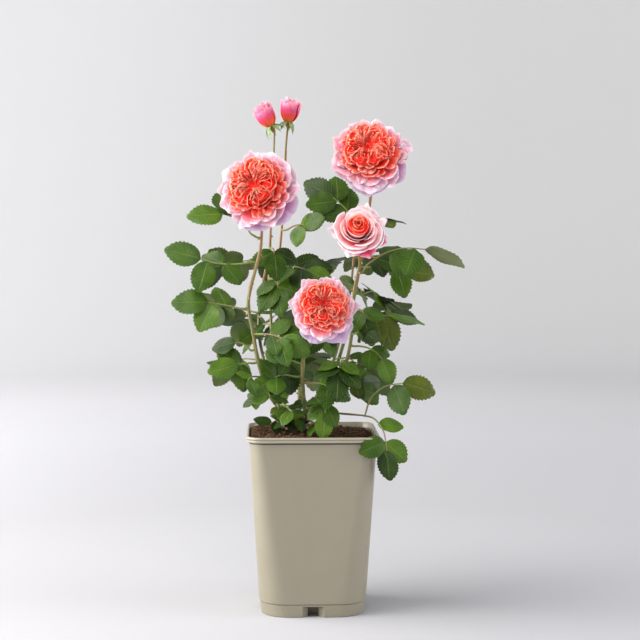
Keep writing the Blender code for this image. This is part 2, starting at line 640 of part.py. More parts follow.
def loose_petals(fused, bloom, petals, fold, rng):
    centre, side, other, axis = flower_frame(bloom)
    size = bloom.radius * MM
    count, root, reach, low, high, width = petals
    for k in range(count):
        turn = 2 * math.pi * (k + rng.uniform(-0.10, 0.10)) / count
        out = side * math.cos(turn) + other * math.sin(turn)
        base = centre + (out * root + axis * low) * size
        tip = centre + (out * reach * rng.uniform(0.94, 1.0) + axis * high) * size
        forward = (tip - base).normalized()
        add_object("petal", blade(base, forward, across(forward, axis), (tip - base).length, width * size,
                                  PETAL_OUTLINE, PETAL_THICKNESS, fold, 0.0), fused)


def flower_stalk(fused, bloom, cane, foot):
    """The stalk from the cane's cut end to the flower's foot, with its calyx and sepals."""
    axis = Vector(bloom.axis).normalized()
    path = cane_path(cane)
    ahead = (path[-1] - path[-2]).normalized()
    start = path[-1] + ahead * CONTACT_GAP
    radius = cane.tip_radius * MM
    middle = (start + ahead * 6 * MM).lerp(foot - axis * CALYX_LENGTH, 0.5)
    add_object("stalk", limb([start, start + ahead * 4 * MM, middle, foot - axis * CALYX_LENGTH, foot],
                             [radius, radius, radius * 0.92, radius * 0.9, radius], 6), fused)
    calyx = limb([foot - axis * CALYX_LENGTH, foot - axis * CALYX_LENGTH * 0.4, foot + axis * HIP_RISE],
                 [radius, CALYX_RADIUS * 0.9, CALYX_RADIUS], 6)
    add_object("calyx", calyx, fused)


def make_flower(parts, fused, material, bloom, cane, lobes, body, petals, fold, rng):
    """An open rose: its packed petals, the loose outer ones round them, and its stalk."""
    centre, side, other, axis = flower_frame(bloom)
    flower = add_object(bloom.name, flower_body(bloom, lobes, body), parts, material)
    loose_petals(fused, bloom, petals, fold, rng)
    flower_stalk(fused, bloom, cane, centre + axis * body[0][1] * bloom.radius * MM)
    boolean(flower, fused, "UNION")
    return flower


def make_bud(parts, fused, material, bloom, cane, rng):
    """A bud whose first petals loosen at the top, with its sepals bent down."""
    centre, side, other, axis = flower_frame(bloom)
    size = bloom.radius * MM
    bud = add_object(bloom.name, flower_body(bloom, BUD_LOBES, BUD_BODY), parts, material)
    loose_petals(fused, bloom, BUD_PETALS, 0.35, rng)
    foot = centre - axis * 1.1 * size
    for k in range(SEPALS):
        angle = 2 * math.pi * k / SEPALS
        out = side * math.cos(angle) + other * math.sin(angle)
        forward = (out - axis * 0.7).normalized()
        add_object("sepal", blade(foot, forward, across(forward, axis), 1.5 * size, 0.5 * size,
                                  SEPAL_OUTLINE, LEAF_THICKNESS, 0.2, -0.2), fused)
    flower_stalk(fused, bloom, cane, foot)
    boolean(bud, fused, "UNION")
    return bud


def solid_tree(made):
    """A search tree over an object's faces, for telling whether a new leaf would touch it."""
    bpy.context.view_layer.update()
    evaluated = made.evaluated_get(bpy.context.evaluated_depsgraph_get())
    mesh = evaluated.to_mesh()
    points = [made.matrix_world @ vertex.co for vertex in mesh.vertices]
    tree = BVHTree.FromPolygons(points, [tuple(face.vertices) for face in mesh.polygons])
    evaluated.to_mesh_clear()
    return tree


def touches(probe, trees):
    return any(probe.overlap(tree) for tree in trees)


def leaf_spine(start, leaf, turn, lift):
    """Points and headings along a compound leaf's stalk, which arcs down as it goes."""
    points = [start]
    headings = []
    for step in range(STALK_STEPS):
        rise = leaf.rise + lift - leaf.droop * (step + 0.5) / STALK_STEPS
        headings.append(heading(leaf.bearing + turn, rise))
        points.append(points[-1] + headings[-1] * leaf.stalk * MM / STALK_STEPS)
    headings.append(heading(leaf.bearing + turn, leaf.rise + lift - leaf.droop))
    return points, headings


def leaf_normal(forward, lean, face):
    """The way a blade looks: upwards, leaning towards the side that its shoot faces."""
    tilt = math.radians(lean)
    return across(forward, UP * math.cos(tilt) + outward(face) * math.sin(tilt))


def leaflet_frame(points, headings, place, side, spread, leaf, face, swing, dip, roll):
    """Where a leaflet starts, the way it points and the way its upper side looks."""
    along = min(place * STALK_STEPS, STALK_STEPS - 1e-6)
    index = int(along)
    start = points[index].lerp(points[index + 1], along - index)
    forward = headings[index] if side else headings[-1]
    normal = leaf_normal(forward, leaf.lean, face)
    if not side:
        roll += leaf.twist
    turn = Matrix.Rotation(math.radians(-side * spread + swing), 3, normal)
    forward = turn @ forward
    bow = Matrix.Rotation(math.radians(-LEAFLET_DIP + dip), 3, forward.cross(normal))
    forward = bow @ forward
    normal = Matrix.Rotation(math.radians(roll), 3, forward) @ (bow @ normal)
    return start, forward, normal


def leaflet_list(leaf):
    """Every leaflet's place on the stalk, side, angle and size: the pairs, then the end one."""
    found = []
    spreads = leaf.spreads or (PAIR_ANGLE,) * (leaf.leaflets - 1)
    for pair, (place, size) in enumerate(zip(PAIR_PLACES[leaf.leaflets], PAIR_SIZES[leaf.leaflets])):
        found.append((place, -1, spreads[2 * pair], size))
        found.append((place, 1, spreads[2 * pair + 1], size))
    return [leaflet for leaflet in found if leaflet[2] is not None] + [(1.0, 0, 0, 1.0)]


def stem_path(shoot, cane):
    """A shoot's stem: straight out of the cane, then bent into its own direction."""
    middle, ahead, radius = cane_at(cane, shoot.height)
    aim = heading(shoot.bearing, shoot.rise)
    out = across(ahead, aim)
    start = middle + out * (radius + CONTACT_GAP)
    knee = start + out * 3 * MM
    return [start, knee, knee + aim * shoot.length * MM]


def stalk_radii(count):
    return [STALK_RADIUS * (1.1 - 0.3 * k / (count - 1)) for k in range(count)]


def leaflet_blade(base, forward, normal, length, root):
    """A leaflet, or with a root share above zero only its part beyond that share."""
    start = base + forward * root * length
    free = length * (1 - root)
    return blade(start, forward, normal, free, length * LEAF_WIDTH_SHARE, LEAF_OUTLINE, LEAF_THICKNESS,
                 0.16, -0.07)


def probe_of(bm):
    """A search tree over a trial piece, which is then thrown away."""
    tree = BVHTree.FromBMesh(bm)
    bm.free()
    return tree


def make_shoot(parts, fused, material, shoot, cane, others):
    """One leafy shoot: a stem that runs on into its first leaf, with side leaves where they stay clear."""
    rng = random.Random(SEED + sum(ord(letter) for letter in shoot.name))
    path = stem_path(shoot, cane)
    if touches(probe_of(limb(path, STEM_RADII, 3)), others):
        print("the stem touches another piece:", shoot.name)
    grown = []
    for leaf in shoot.leaves:
        grown += grow_leaf(fused, shoot, leaf, path, others, grown, rng)
    first = fused.objects[0]
    first.name = shoot.name
    fused.objects.unlink(first)
    parts.objects.link(first)
    first.data.materials.append(material)
    first.display_type = "TEXTURED"
    boolean(first, fused, "UNION")
    return first


def grow_leaf(fused, shoot, leaf, path, others, grown, rng):
    """One compound leaf of a shoot; it returns search trees of what grew."""
    sway = rng.uniform(-1, 1) * SWAY_JITTER
    draws = [[rng.uniform(-1, 1) for _ in range(4)] for _ in leaflet_list(leaf)]
    start = path[-1].lerp(path[-2], 1 - leaf.along)
    for turn, lift in STALK_TURNS:
        points, headings = leaf_spine(start, leaf, turn + sway, lift)
        whole = probe_of(limb(points, stalk_radii(STALK_STEPS + 1), 3))
        stalk = probe_of(limb(points[1:], stalk_radii(STALK_STEPS), 3))
        if not touches(whole, others) and not touches(stalk, grown):
            break
    else:
        print("no room for the leaf of", shoot.name, "at bearing", leaf.bearing)
        return []
    if len(fused.objects):
        base = points[0] - headings[0] * SUNK
        add_object("stalk", limb([base] + points[1:], stalk_radii(STALK_STEPS + 1), 3), fused)
    else:
        radii = STEM_RADII + stalk_radii(STALK_STEPS + 1)[1:]
        add_object("stem", limb(path[:-1] + points, radii, 3), fused)
    blades = []
    for (place, side, spread, size), (swing, dip, roll, scale) in zip(leaflet_list(leaf), draws):
        length = leaf.blade * MM * size * (1 + scale * SIZE_JITTER)
        inset = SUNK if side == 0 else -PAIR_INSET
        for more_swing, more_roll, more_dip in LEAFLET_TURNS:
            base, forward, normal = leaflet_frame(
                points, headings, place, side, spread, leaf, shoot.face, swing * SWING_JITTER + more_swing,
                dip * DIP_JITTER + more_dip, roll * ROLL_JITTER + more_roll)
            base -= forward * inset
            whole = probe_of(leaflet_blade(base, forward, normal, length, 0))
            free = probe_of(leaflet_blade(base, forward, normal, length, FREE_ROOT))
            if not touches(whole, others) and not touches(free, grown + blades):
                blades.append(free)
                add_object("leaflet", leaflet_blade(base, forward, normal, length, 0), fused)
                break
        else:
            print("no room for a leaflet of", shoot.name, "at", place, side)
    return blades + [stalk]


def main():
    clear_scene()
    rng = random.Random(SEED)
    parts = make_collection("potted_rose")
    fused = make_collection("fused_pieces", hidden=True)
    cutters = make_collection("cutters", hidden=True)
    plastic = make_material("pot_plastic", (0.40, 0.35, 0.25), 0.45)
    earth = make_material("soil", (0.06, 0.03, 0.015), 0.95)
    bark = make_material("cane_bark", (0.16, 0.16, 0.04), 0.55)
    old_bark = make_material("graft_bark", (0.14, 0.08, 0.03), 0.8)
    petals = make_material("petals", (0.90, 0.22, 0.16), 0.6)
    green = make_material("leaves", (0.05, 0.16, 0.02), 0.4)
    pot = make_pot(parts, cutters, plastic)
    soil = make_soil(parts, cutters, earth, rng)
    union = make_union(parts, fused, cutters, old_bark, CANES)
    canes = {}
    solids = [pot, soil, union]
    for cane in CANES:
        canes[cane.name] = cane
        solids.append(make_cane(parts, bark, cane))
    for bloom in BLOOMS:
        cane = canes[bloom.cane]
        solids.append(make_flower(parts, fused, petals, bloom, cane, ROSETTE_LOBES, ROSETTE_BODY,
                                  ROSETTE_PETALS, 0.12, rng))
    cane = canes[HALF_OPEN.cane]
    solids.append(make_flower(parts, fused, petals, HALF_OPEN, cane, CUP_LOBES, CUP_BODY,
                              CUP_PETALS, 0.42, rng))
    for bud in BUDS:
        solids.append(make_bud(parts, fused, petals, bud, canes[bud.cane], rng))
    trees = [solid_tree(solid) for solid in solids]
    for shoot in shoots():
        made = make_shoot(parts, fused, green, shoot, canes[shoot.cane], trees)
        trees.append(solid_tree(made))


main()
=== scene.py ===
"""A potted shrub rose in bloom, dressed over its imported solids: pot, soil, graft, canes, leaves and roses."""

import math
import random
from collections import namedtuple

import bmesh
import bpy
from mathutils import Matrix, Vector, kdtree, noise


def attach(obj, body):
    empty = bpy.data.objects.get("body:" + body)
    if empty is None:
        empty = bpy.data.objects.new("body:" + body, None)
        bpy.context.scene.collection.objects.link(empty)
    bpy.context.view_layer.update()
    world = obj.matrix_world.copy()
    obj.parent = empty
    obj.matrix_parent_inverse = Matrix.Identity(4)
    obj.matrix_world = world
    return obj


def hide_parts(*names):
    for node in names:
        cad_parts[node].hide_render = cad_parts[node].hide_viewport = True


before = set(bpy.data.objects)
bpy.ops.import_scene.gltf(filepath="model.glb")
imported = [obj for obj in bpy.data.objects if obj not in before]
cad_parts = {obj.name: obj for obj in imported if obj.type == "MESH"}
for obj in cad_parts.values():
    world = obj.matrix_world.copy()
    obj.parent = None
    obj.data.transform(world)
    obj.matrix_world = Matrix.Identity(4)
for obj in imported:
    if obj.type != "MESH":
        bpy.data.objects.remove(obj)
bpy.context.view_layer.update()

# --- Pot ---
# A tall square nursery container with rounded corners, injection-moulded in taupe plastic. Its lip is
# doubled over a groove, the foot steps in under the wall, and each wall has a drainage notch at its foot.

MM = 0.001
UP = Vector((0, 0, 1))
QUARTER = math.pi / 2
SHARP_ANGLE = math.radians(42)
POT_HEIGHT = 236 * MM
RIM_WIDTH = 172 * MM
WALL_TOP_WIDTH = 164.5 * MM
WALL_FOOT_WIDTH = 138 * MM
CORNER_TOP = 18 * MM
CORNER_FOOT = 38 * MM
WALL = 2 * MM
LIP_HEIGHT = 7 * MM
UNDER_LIP = POT_HEIGHT - LIP_HEIGHT
# Down the lip's outside: how far in from the rim in millimetres, and how far up the lip as a share.
LIP_SECTION = ((1.9, -0.02), (1.3, 0.0), (0.7, 0.05), (0.5, 0.12), (0.4, 0.42), (0.7, 0.47), (1.3, 0.5),
               (1.3, 0.54), (0.5, 0.58), (0.1, 0.64), (0.0, 0.72), (0.15, 0.88), (0.6, 0.97), (1.1, 1.0))
FOOT_HEIGHT = 17 * MM
FOOT_STEP = 0.9 * MM
FOOT_TUCK = 1.6 * MM
CORNER_STEPS = 10
WALL_STEPS = 6
WALL_LEVELS = 11
WALL_BOW = 0.5 * MM
NOTCH_WIDTH = 30 * MM
NOTCH_THROAT = 15 * MM
NOTCH_HEIGHT = 14.5 * MM
NOTCH_DEPTH = 24 * MM
NOTCH_MOUTH = 1 * MM
NOTCH_CHEEK = 9 * MM
NOTCH_ARCH = 1.5 * MM
POT_TAUPE = (0.244, 0.217, 0.157)
POT_TAUPE_PALE = (0.267, 0.239, 0.173)
UNSHADED = (1.0, 1.0, 1.0)
# Painted shade and painted highlight on the rim: a dark band just under the lip, and a lighter lip above it.
GROOVE_SHADE = (0.30, 0.27, 0.27)
RIM_SHEEN = (1.28, 1.30, 1.34)


def add_node(tree, kind, inputs, **settings):
    """A shader node with its settings; each input is given a value, or another node's output."""
    node = tree.nodes.new("ShaderNode" + kind)
    for setting, value in settings.items():
        setattr(node, setting, value)
    for socket, value in inputs.items():
        if isinstance(value, bpy.types.NodeSocket):
            tree.links.new(value, node.inputs[socket])
        else:
            node.inputs[socket].default_value = value
    return node


def start_finish(name, roughness, gloss):
    """A new material: its node tree, its shader and the object's own coordinates."""
    material = bpy.data.materials.new(name)
    material.use_nodes = True
    tree = material.node_tree
    shader = tree.nodes["Principled BSDF"]
    shader.inputs["Roughness"].default_value = roughness
    shader.inputs["Specular IOR Level"].default_value = gloss
    return material, tree, shader, add_node(tree, "TexCoord", {}).outputs["Object"]


def mottle(tree, place, scale, detail=3.0, stretch=(1, 1, 1)):
    """Soft uneven patches, fixed to the object; scale is patches to the metre."""
    stretched = add_node(tree, "Mapping", {"Vector": place, "Scale": stretch}).outputs["Vector"]
    return add_node(tree, "TexNoise", {"Vector": stretched, "Scale": scale, "Detail": detail}).outputs["Fac"]


def shades(tree, share, stops):
    """Colours along a share from 0 to 1, given as (where, colour) in linear light."""
    ramp = add_node(tree, "ValToRGB", {"Fac": share})
    for i, (where, colour) in enumerate(stops):
        stop = ramp.color_ramp.elements[i] if i < 2 else ramp.color_ramp.elements.new(where)
        stop.position = where
        stop.color = (*colour, 1)
    return ramp.outputs["Color"]


def remap(tree, value, low, high, to_low, to_high, curve="SMOOTHSTEP"):
    """A value carried from one range to another."""
    return add_node(tree, "MapRange", {"Value": value, "From Min": low, "From Max": high, "To Min": to_low,
                                       "To Max": to_high}, interpolation_type=curve).outputs["Result"]


def blend_colours(tree, share, one, two, blend="MIX"):
    return add_node(tree, "Mix", {"Factor": share, "A": one, "B": two}, data_type="RGBA",
                    blend_type=blend).outputs["Result"]


def axis_of(tree, place, axis):
    return add_node(tree, "SeparateXYZ", {"Vector": place}).outputs[axis]


def relief(tree, shader, height, depth, below=None):
    """Fine bumps of a depth in metres, on top of any earlier ones."""
    sources = {"Height": height, "Distance": depth, "Strength": 1.0}
    if below:
        sources["Normal"] = below
    bumps = add_node(tree, "Bump", sources).outputs["Normal"]
    tree.links.new(bumps, shader.inputs["Normal"])
    return bumps


def patchy_finish(name, roughness, gloss, patches, stops, depth, grain=None):
    """A finish whose colour drifts in patches, with bumps that follow them or have a grain of their own."""
    material, tree, shader, place = start_finish(name, roughness, gloss)
    drift = mottle(tree, place, *patches)
    tree.links.new(shades(tree, drift, stops), shader.inputs["Base Color"])
    relief(tree, shader, mottle(tree, place, *grain) if grain else drift, depth)
    return material


def as_mesh(bm, name):
    mesh = bpy.data.meshes.new(name)
    bm.to_mesh(mesh)
    bm.free()
    return mesh


def stand(name, data):
    """A new object in the scene, at the origin."""
    item = bpy.data.objects.new(name, data)
    bpy.context.scene.collection.objects.link(item)
    return item


def made_solid(item):
    """The mesh that an object's modifiers or curve settings give."""
    bpy.context.view_layer.update()
    return bpy.data.meshes.new_from_object(item.evaluated_get(bpy.context.evaluated_depsgraph_get()))


def set_out(name, shape, nodes, finishes):
    """Turns a finished bmesh or mesh into a piece that stands for its CAD nodes and rides on the plant."""
    mesh = as_mesh(shape, name) if isinstance(shape, bmesh.types.BMesh) else shape
    mesh.name = name
    mesh.shade_smooth()
    mesh.set_sharp_from_angle(angle=SHARP_ANGLE)
    for finish in finishes:
        mesh.materials.append(finish)
    piece = stand(name, mesh)
    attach(piece, "root")
    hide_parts(*nodes)
    return piece


def pot_half(height):
    """Half the wall's width at a height."""
    return (WALL_FOOT_WIDTH + (WALL_TOP_WIDTH - WALL_FOOT_WIDTH) * height / UNDER_LIP) / 2


def pot_corner(height):
    return CORNER_FOOT + (CORNER_TOP - CORNER_FOOT) * height / POT_HEIGHT


def round_the_pot(index, half, corner, height, bow=0.0):
    """One point of a ring round the pot: each corner's arc, then the wall to the next corner."""
    quarter, step = divmod(index, CORNER_STEPS + WALL_STEPS)
    straight = half - corner
    if step <= CORNER_STEPS:
        angle = QUARTER * step / CORNER_STEPS
        point = Vector((straight + corner * math.cos(angle), straight + corner * math.sin(angle), height))
    else:
        share = (step - CORNER_STEPS) / WALL_STEPS
        point = Vector((straight * (1 - 2 * share), half + math.sin(share * math.pi) * bow, height))
    return Matrix.Rotation(quarter * QUARTER, 3, "Z") @ point


def pot_stations():
    """The wall's section, from the foot up its outside, over the lip and down its inside."""
    lip = RIM_WIDTH / 2
    top = pot_corner(UNDER_LIP)
    foot = pot_half(0) - FOOT_TUCK
    found = [(foot - inset * MM, CORNER_FOOT, height * MM)
             for inset, height in ((1.0, 0.0), (0.3, 0.4), (0, 1.2))]
    for rise, steps_in in ((-1.2, 0.9), (-0.5, 1.0), (-0.1, 1.7), (0.5, 0.3), (1.1, 0.0)):
        height = FOOT_HEIGHT + rise * MM
        found.append((pot_half(height) - FOOT_STEP * steps_in, pot_corner(height), height))
    for level in range(1, WALL_LEVELS):
        height = FOOT_HEIGHT + (UNDER_LIP - FOOT_HEIGHT) * level / WALL_LEVELS
        found.append((pot_half(height), pot_corner(height), height,
                      WALL_BOW * math.sin(level / WALL_LEVELS * math.pi)))
    found += [(pot_half(UNDER_LIP) - inset * MM, top, UNDER_LIP - drop * MM)
              for inset, drop in ((0, 2.0), (1.0, 1.6), (1.0, 0.3))]
    found += [(lip - inset * MM, top + 2 * MM, UNDER_LIP + LIP_HEIGHT * rise) for inset, rise in LIP_SECTION]
    return found + [(lip - 2.6 * MM, top + 1 * MM, POT_HEIGHT),
                    (lip - 3.2 * MM, top + 1 * MM, POT_HEIGHT - 0.5 * MM),
                    (pot_half(UNDER_LIP) - WALL, top - 1 * MM, UNDER_LIP),
                    (pot_half(WALL) - FOOT_TUCK - WALL, pot_corner(WALL) - 1 * MM, 1.25 * WALL)]


def draw_through(count, stations, place_at):
    """A closed skin: a ring of points carried through its stations, then filled at both ends."""
    bm = bmesh.new()
    bmesh.ops.create_circle(bm, cap_ends=False, segments=count, radius=1)
    number_of = bm.verts.layers.int.new("number")
    for number, vert in enumerate(bm.verts):
        vert[number_of] = number
    level = bm.edges[:]
    ring = bm.verts[:]
    for step, station in enumerate(stations):
        if step:
            grown = bmesh.ops.extrude_edge_only(bm, edges=level)["geom"]
            level = [item for item in grown if isinstance(item, bmesh.types.BMEdge)]
            ring = [item for item in grown if isinstance(item, bmesh.types.BMVert)]
        for vert in ring:
            vert.co = place_at(vert[number_of], station)
    close_up(bm)
    return bm


def close_up(bm):
    """Fills what is open and turns every face outwards."""
    bmesh.ops.holes_fill(bm, edges=[edge for edge in bm.edges if edge.is_boundary], sides=0)
    bmesh.ops.recalc_face_normals(bm, faces=bm.faces)
    if bm.calc_volume(signed=True) < 0:
        bmesh.ops.reverse_faces(bm, faces=bm.faces)


def notch(widen, front):
    """The arched notch in the foot of one wall: two slanted cheeks, then a narrow throat."""
    low = -2 * MM if front < 0 else WALL / 2
    stations = ((front, NOTCH_WIDTH), (NOTCH_MOUTH, NOTCH_WIDTH), (NOTCH_CHEEK, NOTCH_THROAT),
                (NOTCH_DEPTH + widen, NOTCH_THROAT))

    def corner(number, station):
        depth, width = station
        half = width / 2 + widen
        top = NOTCH_HEIGHT + widen
        x, z = ((-half, low), (half, low), (half - NOTCH_ARCH, top), (NOTCH_ARCH - half, top))[number]
        return Vector((x, depth - pot_half(max(z, 0)) + FOOT_TUCK * 0.5, z))
    return draw_through(4, stations, corner)


def work_each_wall(target, build, operation):
    """The target's mesh after one exact Boolean with the same tool at the middle of each wall."""
    tools = []
    for quarter in range(4):
        bm = build()
        bm.transform(Matrix.Rotation(quarter * QUARTER, 4, "Z"))
        tools.append(stand("tool", as_mesh(bm, "tool")))
        modifier = target.modifiers.new(operation.title(), "BOOLEAN")
        modifier.operation = operation
        modifier.solver = "EXACT"
        modifier.object = tools[-1]
    finished = made_solid(target)
    target.modifiers.clear()
    for tool in tools:
        bpy.data.objects.remove(tool, do_unlink=True)
    return finished


pot_skin = draw_through(4 * (CORNER_STEPS + WALL_STEPS), pot_stations(),
                        lambda number, station: round_the_pot(number, *station))
blank = stand("pot_blank", as_mesh(pot_skin, "pot_blank"))
blank.data = work_each_wall(blank, lambda: notch(WALL, 0.5 * MM), "UNION")
pot_mesh = work_each_wall(blank, lambda: notch(0, -9 * MM), "DIFFERENCE")
bpy.data.objects.remove(blank, do_unlink=True)

pot_plastic, tree, shader, place = start_finish("pot_plastic", 0.47, 0.8)
up_the_rim = remap(tree, axis_of(tree, place, "Z"), UNDER_LIP - 10 * MM, UNDER_LIP + 10 * MM, 0.0, 1.0,
                   "LINEAR")
taupe = shades(tree, mottle(tree, place, 9, 4, (1, 1, 0.35)), ((0.3, POT_TAUPE), (0.7, POT_TAUPE_PALE)))
# Painted light on the plastic's colour: painted shade in a band just under the lip, and a painted highlight
# over the whole lip.
rim_painted_light = shades(tree, up_the_rim, ((0.38, UNSHADED), (0.42, GROOVE_SHADE), (0.49, GROOVE_SHADE),
                                     (0.53, RIM_SHEEN)))
tree.links.new(blend_colours(tree, 1.0, taupe, rim_painted_light, "MULTIPLY"), shader.inputs["Base Color"])
tree.links.new(remap(tree, mottle(tree, place, 60, 5), 0.35, 0.65, 0.30, 0.46), shader.inputs["Roughness"])
soft = relief(tree, shader, mottle(tree, place, 26, 2), 0.0010)
relief(tree, shader, mottle(tree, place, 1400, 2), 0.00004, soft)
pot = set_out("pot_shell", pot_mesh, ["pot"], [pot_plastic])
pot.modifiers.new("Even_shading", "WEIGHTED_NORMAL").keep_sharp = True

# --- Soil ---
# Peaty compost, filled to a finger's breadth under the rim and heaped a little round the graft. It is
# loose and crumbly, with lumps of peat and reddish scraps of composted bark lying on it.

SOIL_EDGE = 227 * MM
SOIL_SINK = 1.2 * MM
SOIL_MOUND = 11 * MM
SOIL_DEPTH = 9 * MM
MOUND_CENTRE = Vector((-22, -2, 0)) * MM
MOUND_SEAT = 31 * MM
SOIL_ROUGHNESS = 2.2 * MM
SOIL_GRID = 88
CRUMBS = 1500
SCRAPS = 260
LUMP_KINDS = 12
ANY_TURN = (0, 6.28)
PEAT_DARK = (0.030, 0.017, 0.010)
PEAT_BROWN = (0.105, 0.060, 0.034)
BARK_RED = (0.16, 0.060, 0.028)
BARK_TAN = (0.30, 0.17, 0.09)

soil_half = pot_half(UNDER_LIP) - WALL - 0.3 * MM
soil_corner = pot_corner(UNDER_LIP) - 1 * MM
soil_rng = random.Random(7)


def from_graft(x, y):
    return (Vector((x, y, 0)) - MOUND_CENTRE).length


def soil_height(x, y):
    """How high the mound stands at a place, with the lumps in its surface."""
    climb = min(max(1 - (from_graft(x, y) - MOUND_SEAT) / (soil_half * 1.05), 0), 1)
    lumps = noise.noise(Vector((x, y, 0.3)) * 75) + 0.6 * noise.noise(Vector((x, y, 0.7)) * 190)
    return SOIL_EDGE + SOIL_MOUND * math.sin(climb * QUARTER) - SOIL_SINK + SOIL_ROUGHNESS * 0.6 * lumps


def within_pot(x, y):
    """A place pulled in to the rounded square inside the wall."""
    over_x = max(abs(x) - (soil_half - soil_corner), 0)
    over_y = max(abs(y) - (soil_half - soil_corner), 0)
    reach = math.hypot(over_x, over_y)
    if reach <= soil_corner:
        return x, y
    spare = 1 - soil_corner / reach
    return math.copysign(abs(x) - over_x * spare, x), math.copysign(abs(y) - over_y * spare, y)


soil_skin = bmesh.new()
bmesh.ops.create_grid(soil_skin, x_segments=SOIL_GRID, y_segments=SOIL_GRID, size=soil_half)
beyond = {vert for vert in soil_skin.verts if vert.co.xy - Vector(within_pot(*vert.co.xy)) != Vector((0, 0))}
bmesh.ops.delete(soil_skin, geom=[face for face in soil_skin.faces if beyond.issuperset(face.verts)],
                 context="FACES")
for vert in soil_skin.verts:
    x, y = within_pot(vert.co.x, vert.co.y)
    vert.co = (x, y, soil_height(x, y))
bmesh.ops.remove_doubles(soil_skin, verts=soil_skin.verts, dist=0.2 * MM)
grown = bmesh.ops.extrude_edge_only(soil_skin, edges=[edge for edge in soil_skin.edges if edge.is_boundary])
for item in grown["geom"]:
    if isinstance(item, bmesh.types.BMVert):
        item.co.z = SOIL_EDGE - SOIL_DEPTH
        item.co.xy *= 0.97
close_up(soil_skin)


def lay(bm, template, shape):
    """Adds one copy of a template mesh; shape gives the new place of each of its points."""
    before = len(bm.verts)
    bm.from_mesh(template)
    bm.verts.ensure_lookup_table()
    for vert in bm.verts[before:]:
        vert.co = shape(*vert.co)


def crumb(rng):
    """One lump, a little different from the next."""
    bm = bmesh.new()
    bmesh.ops.create_icosphere(bm, subdivisions=1, radius=1)
    for vert in bm.verts:
        vert.co *= rng.uniform(0.7, 1.2)
    return as_mesh(bm, "crumb")


def strew(count, low, high, flat, long, clear_of_graft):
    """Crumbs lying on the soil, each with its own size, turn and squash."""
    bm = bmesh.new()
    lumps = [crumb(soil_rng) for _ in range(LUMP_KINDS)]
    for _ in range(count):
        x, y = within_pot(*(soil_rng.uniform(-1, 1) * soil_half * 0.97 for _ in range(2)))
        size = low + (high - low) * soil_rng.random() ** 2.5
        turn = (Matrix.Rotation(soil_rng.uniform(*ANY_TURN), 3, "Z")
                @ Matrix.Rotation(soil_rng.uniform(-0.5, 0.5), 3, "X"))
        if from_graft(x, y) < clear_of_graft:
            continue
        spot = Vector((x, y, soil_height(x, y) + size * flat * 0.35))
        lay(bm, soil_rng.choice(lumps), lambda a, b, c: spot + turn @ Vector((a * long, b, c * flat)) * size)
    return bm


soil_peat = patchy_finish("soil_peat", 0.95, 0.15, (420, 8),
                          ((0.36, PEAT_DARK), (0.56, PEAT_BROWN), (0.74, BARK_RED)), 0.0022)
soil_bark = patchy_finish("soil_bark", 0.85, 0.2, (150, 3),
                          ((0.40, BARK_RED), (0.58, PEAT_BROWN), (0.70, BARK_TAN)), 0.0006, (900, 4))
set_out("soil_mound", soil_skin, ["soil"], [soil_peat])
set_out("soil_crumbs", strew(CRUMBS, 0.8 * MM, 3.0 * MM, 0.8, 1.15, 15 * MM), ["soil"], [soil_peat])
set_out("soil_scraps", strew(SCRAPS, 1.0 * MM, 3.2 * MM, 0.38, 2.0, 18 * MM), ["soil"], [soil_bark])

# --- Graft union ---
# The swollen knuckle where the rose is budded on its rootstock: old rough bark, grey-brown and
# cracked, with the stubs from which the canes rise. It sits on the soil and is one piece with them.

GRAFT_GRAIN = 0.9 * MM
GRAFT_GREY = (0.20, 0.15, 0.105)
GRAFT_BROWN = (0.075, 0.045, 0.026)
GRAFT_GREEN = (0.13, 0.13, 0.05)

graft = bmesh.new()
graft.from_mesh(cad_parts["graft_union"].data)
bmesh.ops.remove_doubles(graft, verts=graft.verts, dist=0.01 * MM)
bmesh.ops.recalc_face_normals(graft, faces=graft.faces)
rough = stand("graft_rough", as_mesh(graft, "graft"))
remesh = rough.modifiers.new("Skin", "REMESH")
remesh.mode = "VOXEL"
remesh.voxel_size = GRAFT_GRAIN
rounding = rough.modifiers.new("Round", "SMOOTH")
rounding.factor = 0.7
rounding.iterations = 9
graft = bmesh.new()
graft.from_mesh(made_solid(rough))
bpy.data.objects.remove(rough, do_unlink=True)
graft.normal_update()
for vert in graft.verts:
    ridges = abs(noise.noise(Vector((vert.co.x * 210, vert.co.y * 210, vert.co.z * 70))))
    knobs = noise.noise(vert.co * 95 + Vector((3, 1, 2)))
    vert.co += vert.normal * (0.9 * knobs - 1.3 * ridges + 0.35) * MM
graft_bark = patchy_finish("graft_bark", 0.8, 0.25, (110, 5, (1, 1, 0.5)),
                           ((0.34, GRAFT_BROWN), (0.55, GRAFT_GREY), (0.72, GRAFT_GREEN)),
                           0.0012, (520, 6, (1, 1, 0.35)))
set_out("graft_knuckle", graft, ["graft_union"], [graft_bark])

# --- Canes ---
# Live rose wood: green and smooth with a dull bloom below, turning red-brown towards the light, a
# little swollen and ringed at each bud joint, and set with flattened prickles hooked downwards.

CONTACT_GAP = 0.3 * MM
WELD = 0.002 * MM
CANE_STEPS = 14
CANE_SLIM = 0.19
JOINT_SWELL = 0.17
END_SWELL = 0.05
CANE_GREEN = (0.090, 0.130, 0.028)
CANE_PALE = (0.215, 0.192, 0.062)
CANE_RED = (0.275, 0.128, 0.050)
PRICKLE_RED = (0.26, 0.085, 0.05)
PRICKLE_STRAW = (0.42, 0.27, 0.13)
PRICKLE_SPACING = 19 * MM
PRICKLE_FOOT = 2.1
PRICKLE_FLAT = 0.75
PRICKLE_HOOK = 0.45

